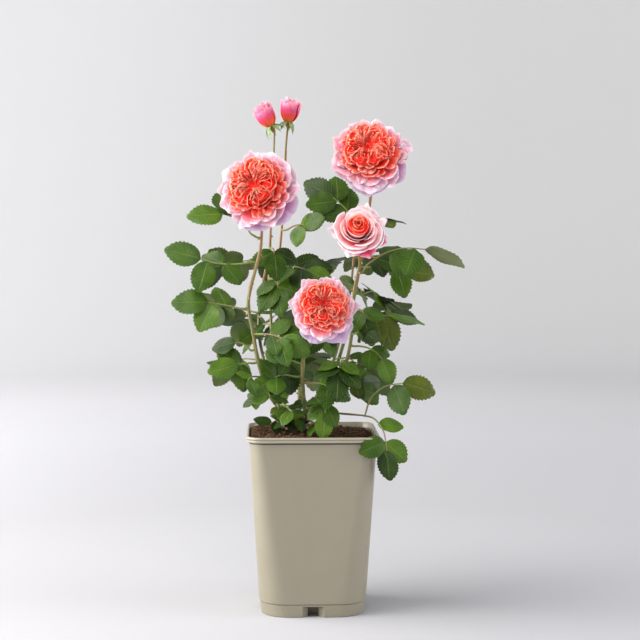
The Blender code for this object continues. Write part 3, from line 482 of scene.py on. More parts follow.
# Radii, and the places that each cane passes through, in millimetres.
Cane = namedtuple("Cane", "name foot_radius tip_radius places")
CANES = (
    Cane("cane_low", 3.6, 2.7,
         ((-9, -30, 259), (-13, -47, 295), (-13, -57, 327), (-10, -65, 346), (1, -74, 361), (8, -76, 372))),
    Cane("cane_left", 3.4, 2.3,
         ((-36, -22, 259), (-58, -36, 290), (-71, -44, 333), (-77, -47, 368), (-83, -48, 402),
          (-80, -48, 426), (-72, -48, 456), (-67, -48, 480), (-65, -46, 512))),
    Cane("cane_bud", 2.9, 1.6,
         ((-42, -3, 257), (-48, 6, 301), (-53, 14, 367), (-56, 15, 434), (-55, 12, 480), (-52, 8, 539),
          (-50, 1, 596))),
    Cane("cane_top", 3.0, 1.8,
         ((-36, 13, 258), (-37, 24, 313), (-43, 32, 406), (-43, 31, 457), (-38, 25, 520), (-34, 15, 604))),
    Cane("cane_right", 3.3, 2.4,
         ((2, -14, 258), (24, -22, 286), (43, -27, 324), (52, -32, 372), (54, -38, 420), (60, -42, 452))),
    Cane("cane_right_bloom", 3.2, 2.3,
         ((-2, 7, 259), (31, 17, 314), (50, 13, 380), (60, 4, 434), (72, -3, 500), (77, -9, 545))),
    Cane("cane_back_left", 3.2, 1.9,
         ((-32, 30, 256), (-56, 52, 300), (-70, 66, 360), (-66, 74, 420), (-54, 76, 470))),
    Cane("cane_back", 3.0, 1.9,
         ((-16, 30, 257), (-14, 66, 296), (-4, 88, 345), (6, 98, 400), (4, 96, 440))),
    Cane("cane_back_right", 3.2, 1.9,
         ((-6, 22, 257), (22, 50, 300), (42, 64, 360), (54, 66, 420), (60, 58, 478))),
)
CANE_NAMED = {cane.name: cane for cane in CANES}


def calculate(tree, operation, *values):
    """One step of arithmetic on numbers or on other nodes' outputs."""
    return add_node(tree, "Math", dict(enumerate(values)), operation=operation).outputs[0]


def outward(bearing):
    turn = math.radians(bearing)
    return Vector((math.sin(turn), -math.cos(turn), 0))


def heading(bearing, rise):
    lift = math.radians(rise)
    return outward(bearing) * math.cos(lift) + UP * math.sin(lift)


def across(direction, hint):
    """The part of hint that stands square to direction, at unit length."""
    return (hint - direction * hint.dot(direction)).normalized()


def around(side, other, turn):
    return side * math.cos(turn) + other * math.sin(turn)


def smooth_path(stops, steps):
    """Points on a smooth curve through the stops (Catmull-Rom)."""
    ends = [stops[0] * 2 - stops[1]] + list(stops) + [stops[-1] * 2 - stops[-2]]
    path = []
    for i in range(1, len(ends) - 2):
        a, b, c, d = ends[i - 1:i + 3]
        for step in range(steps):
            t = step / steps
            path.append(0.5 * (2 * b + (c - a) * t + (2 * a - 5 * b + 4 * c - d) * t ** 2
                               + (3 * b - a - 3 * c + d) * t ** 3))
    return path + [stops[-1]]


def cane_path(cane, steps):
    return smooth_path([Vector(stop) * MM for stop in cane.places], steps)


def tapered(radius, share, loss, count):
    """Radii down a length: a share of the radius, with a steady loss to the far end."""
    return [radius * (share - loss * k / (count - 1)) for k in range(count)]


def wands(name, runs, roundness):
    """Round tapering lengths as one mesh: every run is a list of points and their radii in millimetres."""
    curve = bpy.data.curves.new(name, "CURVE")
    curve.dimensions = "3D"
    curve.bevel_depth = MM
    curve.bevel_resolution = roundness
    curve.use_fill_caps = True
    for points, radii in runs:
        spline = curve.splines.new("POLY")
        spline.points.add(len(points) - 1)
        for point, place_at, radius in zip(spline.points, points, radii):
            point.co = (*place_at, 1)
            point.radius = radius
    drawn = stand(name, curve)
    mesh = made_solid(drawn)
    bpy.data.objects.remove(drawn, do_unlink=True)
    return mesh


def weld(bm):
    bmesh.ops.remove_doubles(bm, verts=bm.verts, dist=WELD)


def cane_run(cane):
    """The cane's line and radii: slimmer above its foot, with a swelling at every bud joint."""
    path = cane_path(cane, CANE_STEPS)
    radii = []
    for i in range(len(path)):
        radius = cane.foot_radius + (cane.tip_radius - cane.foot_radius) * i / (len(path) - 1)
        from_joint = (i + CANE_STEPS // 2) % CANE_STEPS - CANE_STEPS // 2
        swell = JOINT_SWELL * math.exp(-(from_joint / 1.5) ** 2) if 0 < i < len(path) - 1 else END_SWELL
        radii.append(radius * (1 + swell) * (1 - CANE_SLIM * min(i / CANE_STEPS, 1)))
    return path, radii


def prickle_shape():
    """A spike on a round foot, in three rings, ready to be flattened and hooked."""
    bm = bmesh.new()
    bmesh.ops.create_cone(bm, cap_ends=True, segments=8, radius1=1, radius2=0.08, depth=1)
    bmesh.ops.translate(bm, verts=bm.verts, vec=(0, 0, 0.5))
    flanks = [edge for edge in bm.edges if abs(edge.verts[0].co.z - edge.verts[1].co.z) > 0.5]
    bmesh.ops.subdivide_edges(bm, edges=flanks, cuts=2)
    return as_mesh(bm, "prickle")


def set_prickles(bm, template, path, radii, rng):
    """Prickles up one cane: flat-sided spikes on a long foot, hooked down, each at its own bearing."""
    gone = PRICKLE_SPACING * 0.5
    bearing = rng.uniform(*ANY_TURN)
    for i in range(1, len(path) - 3):
        gone += (path[i] - path[i - 1]).length
        if gone < PRICKLE_SPACING * rng.uniform(0.7, 1.4):
            continue
        gone = 0
        bearing += rng.uniform(1.6, 3.0)
        ahead = (path[i + 1] - path[i]).normalized()
        side = across(ahead, Vector((1, 0, 0)))
        out = around(side, ahead.cross(side), bearing)
        long = rng.uniform(2.6, 4.4) * MM
        foot = path[i] + out * radii[i] * 0.82 * MM
        lay(bm, template, lambda x, y, z: foot + out * z * long + out.cross(ahead) * y * PRICKLE_FLAT * MM
            + ahead * (x * PRICKLE_FOOT * MM - z * z * long * PRICKLE_HOOK))


cane_runs = [cane_run(cane) for cane in CANES]
cane_skin = bmesh.new()
cane_skin.from_mesh(wands("canes", cane_runs, 4))
weld(cane_skin)
cane_skin.normal_update()
for vert in cane_skin.verts:
    flutes = noise.noise(Vector((vert.co.x * 330, vert.co.y * 330, vert.co.z * 22)))
    knobs = noise.noise(vert.co * 120)
    vert.co += vert.normal * (0.16 * flutes + 0.12 * knobs) * MM
prickles = bmesh.new()
prickle_rng = random.Random(23)
prickle = prickle_shape()
for path, radii in cane_runs:
    set_prickles(prickles, prickle, path, radii, prickle_rng)

cane_bark, tree, shader, place = start_finish("cane_bark", 0.42, 0.45)
streaks = mottle(tree, place, 180, 5, (1, 1, 0.12))
lit = remap(tree, axis_of(tree, place, "Z"), 0.37, 0.51, 0.0, 0.36)
tree.links.new(shades(tree, calculate(tree, "ADD", lit, streaks),
                      ((0.40, CANE_GREEN), (0.60, CANE_PALE), (0.90, CANE_RED))), shader.inputs["Base Color"])
relief(tree, shader, streaks, 0.0004)
prickle_horn = patchy_finish("prickle_horn", 0.35, 0.5, (300, 2),
                             ((0.4, PRICKLE_RED), (0.66, PRICKLE_STRAW)), 0.0002)
set_out("canes", cane_skin, CANE_NAMED, [cane_bark])
set_out("prickles", prickles, CANE_NAMED, [prickle_horn])

# --- Leafy shoots ---
# Short green stems that run on into compound leaves: a grooved stalk with one or two pairs of toothed
# leaflets and one at its end. The blades are firm, glossy and veined above, pale and dull beneath.

SEED = 61
# In millimetres, but for the root: how far it runs back into the cane, as a share of the knee.
STEM_RADIUS = 1.75
STEM_LOSS = 0.35
STEM_ROOT = -0.8
KNEE = 3
STALK_RADIUS = 1.15
STALK_STEPS = 3
SUNK = 0.4 * MM
PAIR_INSET = 0.15 * MM
# Where each pair of leaflets sits on the stalk and its size, by how many leaflets the leaf has.
PAIRS = {3: ((0.74, 0.90),), 5: ((0.46, 0.78), (0.84, 0.94))}
PAIR_ANGLE = 60
SWING_JITTER = 9
DIP_JITTER = 10
ROLL_JITTER = 14
SIZE_JITTER = 0.07
SWAY_JITTER = 3
LEAFLET_DIP = 8
LEAFLET_BEND = -0.07
# The turns that a leaflet (swing, roll, dip) or a stalk (turn, lift) may have been given to find room.
LEAFLET_TURNS = ((0, 0, 0), (0, 16, 0), (0, -16, 0), (14, 0, 0), (-14, 0, 0), (0, 30, 0), (0, 0, 30),
                 (0, 0, -30), (22, 16, 0), (-22, -16, 0), (0, -30, 0))
STALK_TURNS = ((0, 0), (9, 0), (-9, 0), (0, 10), (0, -10), (18, 0), (-18, 0), (0, 20), (0, -20))
TIP_MATCH = 0.25 * MM
LEAFLET_ROWS = 20
LEAFLET_HALF = 0.362
TOOTH = 0.055
BLADE = 0.5 * MM

# Degrees and millimetres. Spreads are the angles of the paired leaflets, None where one is missing; twist
# is that of the end leaflet, and along is the leaf's place on the stem.
Leaf = namedtuple("Leaf", "bearing rise droop stalk blade lean leaflets spreads twist along",
                  defaults=((), 0, 1))
Shoot = namedtuple("Shoot", "name cane height bearing rise length face leaves")
# By the bearing that the blades face: a shoot's name, cane, height on it, bearing, rise and length, then
# its leaves.
SHOOT_ROWS = (
    (0, (
        (("left_top", "left", 490, -72, 30, 10), (-84, 68, 66, 46, 50, 50, 3, (None, 56))),
        (("left_upper", "left", 458, -80, -10, 12), (-92, -8, -28, 56, 47, 58, 5, (130, 24, 92, None))),
        (("left_middle", "left", 400, -75, 5, 5), (-88, 14, 6, 42, 45, 56, 5, (None, 56, 78, None))),
        (("left_twig", "left", 346, -72, 40, 4), (-86, 56, 62, 20, 34, 46, 3, (None, 130))),
        (("left_lower", "left", 330, -70, 4, 7), (-84, -8, -6, 14, 40, 66, 3, (85, 30))),
        (("left_foot", "left", 288, -78, 0, 6), (-80, -14, 12, 8, 18, 50, 3)),
        (("right_upper", "right", 446, 80, 60, 12), (84, 42, 54, 80, 55, 66, 5, (None, 60, None, 100), -98)),
        (("right_outer", "right_bloom", 452, 74, 0, 8), (84, -2, 8, 48, 42, 58, 3, (None, 60))),
        (("beside_rose", "right_bloom", 466, 60, -4, 5), (66, 0, 20, 10, 42, 30, 3, (None, 40))),
        (("behind_rose", "right_bloom", 514, 88, 6, 8), (92, 4, 2, 8, 32, 4, 3, (None, 70))),
        (("right_middle", "right", 384, 78, 12, 10), (84, 16, 18, 30, 48, 66, 5, (None, 84, None, 76), -60)),
        (("right_inner", "right", 398, 30, 10, 6), (40, 0, 60, 12, 32, 60, 3)),
        (("right_lower", "right", 350, 66, 4, 6), (72, 0, 56, 36, 38, 62, 5, (16, 60, None, None))),
        (("right_low_spray", "right", 266, 66, -2, 60),
         (74, 86, 90, 72, 44, 55, 5, (120, None, None, 76)),
         (36, 12, 106, 72, 42, 60, 5, (50, None, 44, 76), 0, 0.93)),
        (("top_left", "top", 500, 40, 10, 8), (60, 34, 40, 26, 38, 66, 3, (14, 96))),
        (("top_right", "right_bloom", 502, -80, 34, 10), (-94, 60, 24, 46, 46, 62, 5)),
        (("under_bloom", "top", 452, 30, 0, 10), (56, 6, 26, 34, 44, 62, 5, (60, 40, 40, 60))),
        (("centre_top", "bud", 476, 20, 0, 6), (10, 0, 60, 14, 38, 60, 3, (60, 60))),
        (("centre_left", "bud", 436, 10, 0, 8), (20, 10, 70, 30, 42, 60, 5, (60, 60, 50, 60))),
        (("centre_right", "right", 404, -30, 30, 8), (-50, 20, 40, 30, 42, 66, 3)),
        (("inner_left", "left", 366, 50, 0, 8), (62, 6, 30, 30, 42, 62, 5)),
        (("inner_middle", "bud", 340, 20, 10, 10), (24, 10, 60, 44, 46, 60, 5)),
        (("inner_right", "right", 330, -20, 10, 8), (-10, 10, 60, 34, 40, 60, 5)),
        (("behind_low_bloom", "right_bloom", 372, -40, 10, 10), (-50, 10, 50, 36, 40, 62, 5)),
        (("inner_back", "top", 404, 60, 10, 10), (70, 10, 50, 36, 42, 60, 5)),
        (("low_front", "right", 286, -6, 14, 8), (-10, 6, 76, 44, 36, 60, 3, (40, 60))),
        (("low_middle", "low", 304, 60, 0, 8), (66, 10, 40, 24, 34, 62, 5)),
        (("low_left", "low", 312, -70, 10, 8), (-76, 20, 50, 26, 34, 62, 5)),
        (("low_bud", "bud", 300, 0, 0, 8), (16, 16, 50, 22, 28, 60, 3)),
        (("foot_left", "left", 274, 10, 0, 5), (6, -10, 40, 8, 15, 50, 3)),
        (("low_right", "right", 302, 110, 10, 8), (84, 16, 60, 22, 34, 60, 5, (60, 60, 50, 50))),
    )),
    (-90, (
        (("mid_left", "top", 372, -120, 0, 8),
         (-140, 20, 60, 34, 44, 50, 5),
         (176, 30, 50, 40, 42, 50, 5, (), 0, 0.5)),
    )),
    (90, (
        (("mid_right", "right_bloom", 416, 110, 0, 8),
         (140, 20, 60, 40, 44, 50, 5),
         (-176, 30, 50, 34, 42, 50, 5, (), 0, 0.5)),
    )),
    (180, (
        (("back_left_top", "back_left", 456, -120, 0, 10),
         (-104, 6, 30, 48, 46, 50, 5),
         (170, 30, 60, 46, 44, 50, 5, (), 0, 0.4)),
        (("back_left_middle", "back_left", 388, -110, 10, 12),
         (-104, 14, 10, 46, 44, 40, 5),
         (-160, 0, 40, 46, 44, 50, 5, (), 0, 0.4)),
        (("back_left_low", "back_left", 326, -120, 0, 10), (-124, 10, 50, 40, 40, 50, 5)),
        (("back_top", "back", 432, 180, 20, 12),
         (160, 40, 50, 50, 46, 50, 5),
         (-140, 20, 60, 46, 44, 50, 5, (), 0, 0.4)),
        (("back_middle", "back", 384, 180, 10, 10), (-160, 10, 50, 46, 44, 50, 5)),
        (("back_low", "back", 330, 180, 0, 10), (170, 10, 60, 44, 44, 50, 5)),
        (("back_right_top", "back_right", 462, 120, 0, 12),
         (100, 14, 30, 52, 46, 40, 5),
         (170, 30, 60, 46, 44, 50, 5, (), 0, 0.4)),
        (("back_right_middle", "back_right", 390, 110, 0, 12),
         (104, 14, 30, 46, 44, 40, 5),
         (160, 0, 40, 46, 44, 50, 5, (), 0, 0.4)),
        (("back_right_low", "back_right", 322, 110, 0, 10), (110, 10, 60, 46, 40, 50, 5)),
    )),
)
SHOOTS = [Shoot("leaves_" + name, "cane_" + cane, *growth, face, [Leaf(*leaf) for leaf in leaves])
          for face, rows in SHOOT_ROWS for (name, cane, *growth), *leaves in rows]

# Leaf colours: deep and light upper side, then the underside.
LEAF_TONES = {
    "bright": ((0.046, 0.108, 0.004), (0.084, 0.168, 0.008), (0.14, 0.21, 0.05)),
    "middle": ((0.024, 0.064, 0.003), (0.050, 0.108, 0.005), (0.13, 0.19, 0.05)),
    "deep": ((0.010, 0.030, 0.002), (0.024, 0.056, 0.003), (0.09, 0.145, 0.045)),
    "olive": ((0.050, 0.076, 0.005), (0.088, 0.115, 0.010), (0.14, 0.175, 0.06)),
    "pale": ((0.115, 0.150, 0.035), (0.190, 0.225, 0.060), (0.22, 0.26, 0.11)),
}
VEIN_PALE = (0.32, 0.42, 0.12)
# The tone of some shoots' end leaflets, then of their others. Elsewhere a leaflet draws a number and takes
# the first tone whose chance lies below it.
SHOOT_TONES = {
    "left_upper": ("middle", "middle"), "left_middle": ("middle", "bright"),
    "left_lower": ("bright", "middle"), "right_upper": ("pale", "middle"), "right_outer": ("olive", "bright"),
    "beside_rose": ("deep", "deep"), "behind_rose": ("olive", "olive"), "right_middle": ("bright", "olive"),
    "right_lower": ("bright", "middle"), "top_left": ("middle", "bright"), "top_right": ("deep", "middle"),
    "centre_right": ("middle", "deep"), "under_bloom": ("bright", "deep"), "low_front": ("bright", "middle"),
}
TONE_CHANCES = (("bright", 0.72), ("middle", 0.36), ("deep", 0.07), ("olive", -1))
STEM_GREEN = (0.16, 0.24, 0.05)
STEM_RED = (0.25, 0.13, 0.06)


def cane_at(cane, height):
    """The cane's middle, heading and radius at a height in millimetres."""
    path = cane_path(cane, 2)
    i = next(i for i, high in enumerate(path[1:]) if high.z >= height * MM or i == len(path) - 2)
    low, high = path[i:i + 2]
    share = (height * MM - low.z) / (high.z - low.z)
    along = (i + share) / (len(path) - 1)
    radius = cane.foot_radius + (cane.tip_radius - cane.foot_radius) * along
    return low.lerp(high, share), (high - low).normalized(), radius * MM


def stem_path(shoot):
    """A shoot's stem: straight out of the cane, then bent into its own direction."""
    middle, ahead, radius = cane_at(CANE_NAMED[shoot.cane], shoot.height)
    aim = heading(shoot.bearing, shoot.rise)
    out = across(ahead, aim)
    start = middle + out * (radius + CONTACT_GAP)
    knee = start + out * KNEE * MM
    return [start, knee, knee + aim * shoot.length * MM]


def leaf_spine(start, leaf, turn=0, lift=0):
    """Points and headings along a compound leaf's stalk, which arcs down as it goes."""
    points = [start]
    headings = []
    for step in range(STALK_STEPS):
        rise = leaf.rise + lift - leaf.droop * (step + 0.5) / STALK_STEPS
        headings.append(heading(leaf.bearing + turn, rise))
        points.append(points[-1] + headings[-1] * leaf.stalk * MM / STALK_STEPS)
    headings.append(heading(leaf.bearing + turn, leaf.rise + lift - leaf.droop))
    return points, headings


def leaflet_frame(points, headings, place_on, side, spread, leaf, face, swing, dip, roll):
    """Where a leaflet starts, the way it points and the way its upper side looks.

    A blade looks upwards and leans towards the side that its shoot faces.
    """
    along = min(place_on * STALK_STEPS, STALK_STEPS - 1e-6)
    index = int(along)
    start = points[index].lerp(points[index + 1], along - index)
    forward = headings[index] if side else headings[-1]
    tilt = math.radians(leaf.lean)
    normal = across(forward, UP * math.cos(tilt) + outward(face) * math.sin(tilt))
    if not side:
        roll += leaf.twist
    forward = Matrix.Rotation(math.radians(-side * spread + swing), 3, normal) @ forward
    bow = Matrix.Rotation(math.radians(-LEAFLET_DIP + dip), 3, forward.cross(normal))
    forward = bow @ forward
    normal = Matrix.Rotation(math.radians(roll), 3, forward) @ (bow @ normal)
    return start - forward * (-PAIR_INSET if side else SUNK), forward, normal


def leaflet_list(leaf):
    """Every leaflet's place on the stalk, side, angle and size: the pairs, then the end one."""
    spreads = iter(leaf.spreads or (PAIR_ANGLE,) * (leaf.leaflets - 1))
    found = [(place_on, side, next(spreads), size)
             for place_on, size in PAIRS[leaf.leaflets] for side in (-1, 1)]
    return [leaflet for leaflet in found if leaflet[2] is not None] + [(1.0, 0, 0, 1.0)]


def point_finder(points):
    """A tree of points, to look up the nearest one to a place."""
    found = kdtree.KDTree(len(points))
    for i, point in enumerate(points):
        found.insert(point, i)
    found.balance()
    return found


def leaflet_tries(points, headings, place_on, side, spread, leaf, face=0, swing=0, dip=0, roll=0):
    """The leaflet in each of the turns that it may have been given."""
    return (leaflet_frame(points, headings, place_on, side, spread, leaf, face, swing + more_swing,
                          dip + more_dip, roll + more_roll)
            for more_swing, more_roll, more_dip in LEAFLET_TURNS)


def settled_leaf(finder, start, leaf, face, sway, draws):
    """The stalk as the solid has it turned, and every leaflet that the solid has on it."""
    tries = []
    for turn, lift in STALK_TURNS:
        points, headings = leaf_spine(start, leaf, turn + sway, lift)
        leaflets = []
        for (place_on, side, spread, size), (swing, dip, roll, scale) in zip(leaflet_list(leaf), draws):
            length = leaf.blade * MM * size * (1 + scale * SIZE_JITTER)
            for base, forward, normal in leaflet_tries(
                    points, headings, place_on, side, spread, leaf, face,
                    swing * SWING_JITTER, dip * DIP_JITTER, roll * ROLL_JITTER):
                tip = base + forward * length + normal * LEAFLET_BEND * length
                if finder.find(tip)[2] < TIP_MATCH:
                    leaflets.append((base, forward, normal, length, side))
                    break
        tries.append((points, leaflets))
    return max(tries, key=lambda grown: len(grown[1]))


def double_skin(columns, back_columns, rows):
    """A flat template for a thin closed blade: its front, and its back with the same edge."""
    bm = bmesh.new()
    uv = bm.loops.layers.uv.new("UVMap")
    for side, count in ((1, columns), (-1, back_columns)):
        before = set(bm.faces)
        made = bmesh.ops.create_grid(bm, x_segments=count, y_segments=rows, size=1)["verts"]
        faces = [face for face in bm.faces if face not in before]
        for vert in made:
            vert.co.y = (vert.co.y + 1) / 2
            rim = abs(vert.co.x) > 0.999 or vert.co.y < 0.001 or vert.co.y > 0.999
            vert.co.z = 0 if rim else side
        for face in faces:
            face.material_index = 0 if side > 0 else 1
            for loop in face.loops:
                loop[uv].uv = ((loop.vert.co.x + 1) / 2, loop.vert.co.y)
        if side < 0:
            bmesh.ops.reverse_faces(bm, faces=faces)
    return as_mesh(bm, "template")


def leaflet_outline(v):
    """Half the blade's width as a share of its length: broad and round, with a short point."""
    full = math.sin(math.pi * v ** 0.90) ** 0.58 if 0 < v < 1 else 0
    return LEAFLET_HALF * full * (1 - 0.42 * v ** 10)


def leaflet_shape(base, forward, normal, length, rng):
    """A toothed blade: folded along its midrib, arched to its tip and puckered along its edges."""
    side = forward.cross(normal)
    fold = rng.uniform(0.08, 0.30)
    phase = rng.uniform(*ANY_TURN)
    swirl = rng.uniform(-0.05, 0.05)
    broad = rng.uniform(0.94, 1.08)

    def place_point(u, v, s):
        row = round(v * LEAFLET_ROWS)
        half = leaflet_outline(v) * length * broad
        along = v
        if abs(u) > 0.999 and 0 < row < LEAFLET_ROWS:
            half *= 1 + (TOOTH if row % 2 else -TOOTH)
            along += 0.018 if row % 2 else -0.006
        wide = u * half
        rise = fold * abs(wide) * (1 - 0.5 * abs(u)) + LEAFLET_BEND * along * along * length
        rise += 0.020 * length * math.sin(along * 9 + phase) * u * u - 0.022 * length * abs(u) ** 3
        rise += s * BLADE / 2
        drift = swirl * length * along * along
        return base + forward * (along * length) + side * (wide + drift) + normal * rise
    return place_point


def blade_place(tree):
    """The place on a blade or petal: across it and along it, from 0 to 1."""
    return add_node(tree, "UVMap", {}, uv_map="UVMap").outputs["UV"]


def leaf_finish(name, low, high, roughness, gloss, veins_pale):
    """One side of the blade: mottled green, midrib and side veins, and the quilting between them."""
    material, tree, shader, place = start_finish(name, roughness, gloss)
    u, v = (axis_of(tree, blade_place(tree), axis) for axis in "XY")
    off_middle = calculate(tree, "ABSOLUTE", calculate(tree, "SUBTRACT", u, 0.5))
    run = calculate(tree, "SUBTRACT", calculate(tree, "MULTIPLY", v, 9.0),
                    calculate(tree, "MULTIPLY", off_middle, 4.6))
    ridge = calculate(tree, "ABSOLUTE", calculate(tree, "SUBTRACT", calculate(tree, "FRACT", run), 0.5))
    veins = calculate(tree, "MAXIMUM", remap(tree, ridge, 0.40, 0.49, 0.0, 0.55),
                      remap(tree, off_middle, 0.012, 0.035, 1.0, 0.0))
    green = shades(tree, mottle(tree, place, 55, 4), ((0.36, low), (0.64, high)))
    tree.links.new(blend_colours(tree, calculate(tree, "MULTIPLY", veins, 0.40), green, (*veins_pale, 1)),
                   shader.inputs["Base Color"])
    quilted = relief(tree, shader, calculate(tree, "SUBTRACT", 1.0, veins), 0.00045)
    relief(tree, shader, mottle(tree, place, 500, 3), 0.00025, quilted)
    return material


def leafy_stem(path, steps):
    """The stem's line, from inside the cane up to where the leaf's own stalk takes over."""
    return smooth_path([path[0].lerp(path[1], STEM_ROOT)] + path, steps)[:-1]


leaf_template = double_skin(4, 2, LEAFLET_ROWS)
leaf_skins = {tone: bmesh.new() for tone in LEAF_TONES}
leaf_nodes = {tone: set() for tone in LEAF_TONES}
stalk_runs = []
tone_rng = random.Random(5)
grown_leaflets = []
for shoot in SHOOTS:
    rng = random.Random(SEED + sum(map(ord, shoot.name)))
    finder = point_finder([vert.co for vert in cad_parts[shoot.name].data.vertices])
    path = stem_path(shoot)
    for number, leaf in enumerate(shoot.leaves):
        sway = rng.uniform(-1, 1) * SWAY_JITTER
        draws = [[rng.uniform(-1, 1) for _ in range(4)] for _ in leaflet_list(leaf)]
        start = path[-1].lerp(path[-2], 1 - leaf.along)
        points, leaflets = settled_leaf(finder, start, leaf, shoot.face, sway, draws)
        if not leaflets:
            continue
        spine = smooth_path(points, 4)
        radii = tapered(STALK_RADIUS, 1.1, 0.45, len(spine))
        if number == 0:
            stem = leafy_stem(path, 3)
            spine = stem + spine
            radii = [STEM_RADIUS - STEM_LOSS * k / (len(stem) + 1) for k in range(len(stem))] + radii
        stalk_runs.append((spine, radii))
        for *leaflet, side in leaflets:
            own_tones = SHOOT_TONES.get(shoot.name.removeprefix("leaves_"))
            if own_tones:
                tone = own_tones[1 if side else 0]
            else:
                chance = tone_rng.random()
                tone = next(tone for tone, above in TONE_CHANCES if chance > above)
            leaf_nodes[tone].add(shoot.name)
            grown_leaflets.append(leaflet)
            lay(leaf_skins[tone], leaf_template, leaflet_shape(*leaflet, tone_rng))

# Smaller shoots fill the middle of the bush low down, wherever the larger leaves leave room: the cane,
# the heights on it in millimetres, their bearing and how far it may stray.
FILL_SHOOTS = (
    ("cane_left", (252, 270, 292, 312), -10, 55), ("cane_bud", (250, 268, 318, 356), -5, 50),
    ("cane_low", (246, 258, 276, 330), 10, 75), ("cane_right", (246, 262, 316, 366), -15, 60),
    ("cane_right_bloom", (250, 276, 330, 390), 0, 60), ("cane_top", (252, 290, 344, 392), 20, 70),
)
FILL_STEM_RADIUS = 1.3
FILL_GAP = 3.2 * MM
FILL_LOWEST = 222 * MM
FILL_TONES = ("middle", "deep", "deep", "bright")


def leaflet_points(base, forward, normal, length):
    """Points down the middle and both edges of a leaflet, to tell whether it has room."""
    side = forward.cross(normal)
    return [base + forward * v * length + side * (u * leaflet_outline(v) * length)
            + normal * LEAFLET_BEND * v * v * length
            for v in (0.12, 0.35, 0.6, 0.85, 1.0) for u in (-1, 0, 1)]


def has_room(tried):
    """Whether a leaflet stays above the soil and clear of everything that has grown so far."""
    return (min(point.z for point in tried) > FILL_LOWEST
            and all(room.find(point)[2] > FILL_GAP for point in tried)
            and all((point - other).length > FILL_GAP for point in tried for other in added_points))


taken = [point for leaflet in grown_leaflets for point in leaflet_points(*leaflet)]
taken += [point for path, _ in cane_runs for low, high in zip(path, path[1:])
          for point in (low, (low + high) / 2)]
room = point_finder(taken)
fill_rng = random.Random(14)
added_points = []
for cane_name, heights, middle_bearing, swing in FILL_SHOOTS:
    for height in heights:
        bearing = middle_bearing + fill_rng.uniform(-swing, swing)
        leaf = Leaf(bearing + fill_rng.uniform(-25, 25), fill_rng.uniform(0, 30), fill_rng.uniform(20, 50),
                    fill_rng.uniform(16, 30), fill_rng.uniform(24, 33), 60, 5)
        path = stem_path(Shoot("fill", cane_name, height, bearing, fill_rng.uniform(-5, 25),
                               fill_rng.uniform(5, 12), 0, (leaf,)))
        points, headings = leaf_spine(path[-1], leaf)
        before = len(added_points)
        for place_on, side, spread, size in leaflet_list(leaf):
            length = leaf.blade * MM * size
            for blade in leaflet_tries(points, headings, place_on, side, spread, leaf):
                tried = leaflet_points(*blade, length)
                if has_room(tried):
                    tone = fill_rng.choice(FILL_TONES)
                    lay(leaf_skins[tone], leaf_template, leaflet_shape(*blade, length, fill_rng))
                    added_points += tried
                    break
        if len(added_points) > before:
            spine = smooth_path(points, 3)
            stem = leafy_stem(path, 2)
            radii = [FILL_STEM_RADIUS] * len(stem) + tapered(STALK_RADIUS, 1, 0.4, len(spine))
            stalk_runs.append((stem + spine, radii))

for tone, (low, high, under) in LEAF_TONES.items():
    weld(leaf_skins[tone])
    pale = tuple(0.6 * a + 0.4 * b for a, b in zip(high, VEIN_PALE))
    upper = leaf_finish("leaf_" + tone, low, high, 0.33, 0.32 if tone == "bright" else 0.24, pale)
    low, high = (tuple(channel * share for channel in under) for share in (0.62, 0.84))
    beneath = leaf_finish("leaf_under_" + tone, low, high, 0.62, 0.3, under)
    set_out("leaflets_" + tone, leaf_skins[tone], sorted(leaf_nodes[tone]), [upper, beneath])
stalk_skin = patchy_finish("stalk_skin", 0.45, 0.4, (70, 3), ((0.42, STEM_GREEN), (0.68, STEM_RED)),
                           0.0002, (700, 3))
set_out("leaf_stalks", wands("leaf_stalks", stalk_runs, 1), [shoot.name for shoot in SHOOTS],
        [stalk_skin])

# --- Flower stalks and calyces ---
# Each rose and bud stands on a green stalk that swells into a hip under the flower, and five long
# sepals, split along their edges, fold back from it once it opens.

# Centre and radius are in millimetres. Foot is where the calyx sits on the axis, in radii from the centre,
# and hang is the bearing round the axis on which the flower lies open widest.
Bloom = namedtuple("Bloom", "name cane centre axis radius foot hang")
BLOOMS = (
    Bloom("bloom_left", "cane_left", (-70, -75, 552), (-0.25, -0.92, 0.28), 56, -0.34, -0.85),
    Bloom("bloom_right", "cane_right_bloom", (75, -42, 599), (-0.08, -0.86, 0.42), 55, -0.34, -1.05),
    Bloom("bloom_low", "cane_low", (13, -105, 402), (0.02, -0.95, 0.28), 45, -0.34, -1.5),
)
HALF_OPEN = Bloom("rose_half_open", "cane_right", (59, -76, 501), (0.05, -0.88, 0.42), 36, -0.52, -0.7)
BUDS = (
    Bloom("bud_left", "cane_bud", (-59, 0, 647), (-0.46, -0.10, 0.88), 12, -1.1, 0.0),
    Bloom("bud_top", "cane_top", (-29, 10, 654), (0.12, -0.14, 0.98), 12, -1.1, 0.0),
)
ALL_FLOWERS = BLOOMS + (HALF_OPEN,) + BUDS
BUD_LIMIT = 20
CALYX_LENGTH = 9 * MM
# Up the hip: height above the neck and radius in millimetres; at its neck, a share of the stalk's radius.
HIP_NECK = (2.4, 1.15)
FLOWER_HIP = ((4.6, 3.9), (6.6, 4.9), (8.6, 4.5), (10.4, 4.3), (13, 5.2))
BUD_HIP = ((4.2, 3.2), (6.4, 4.3), (8.6, 3.9), (10.4, 4.1), (12, 4.2))
SEPALS = 5
SEPAL_ROWS = 8
SEPAL_HALF_SKIN = 0.35 * MM
SEPAL_GREEN = (0.13, 0.22, 0.05)
SEPAL_PALE = (0.30, 0.40, 0.17)
FLOWER_STALK_GREEN = (0.15, 0.17, 0.04)
FLOWER_STALK_BROWN = (0.27, 0.15, 0.05)


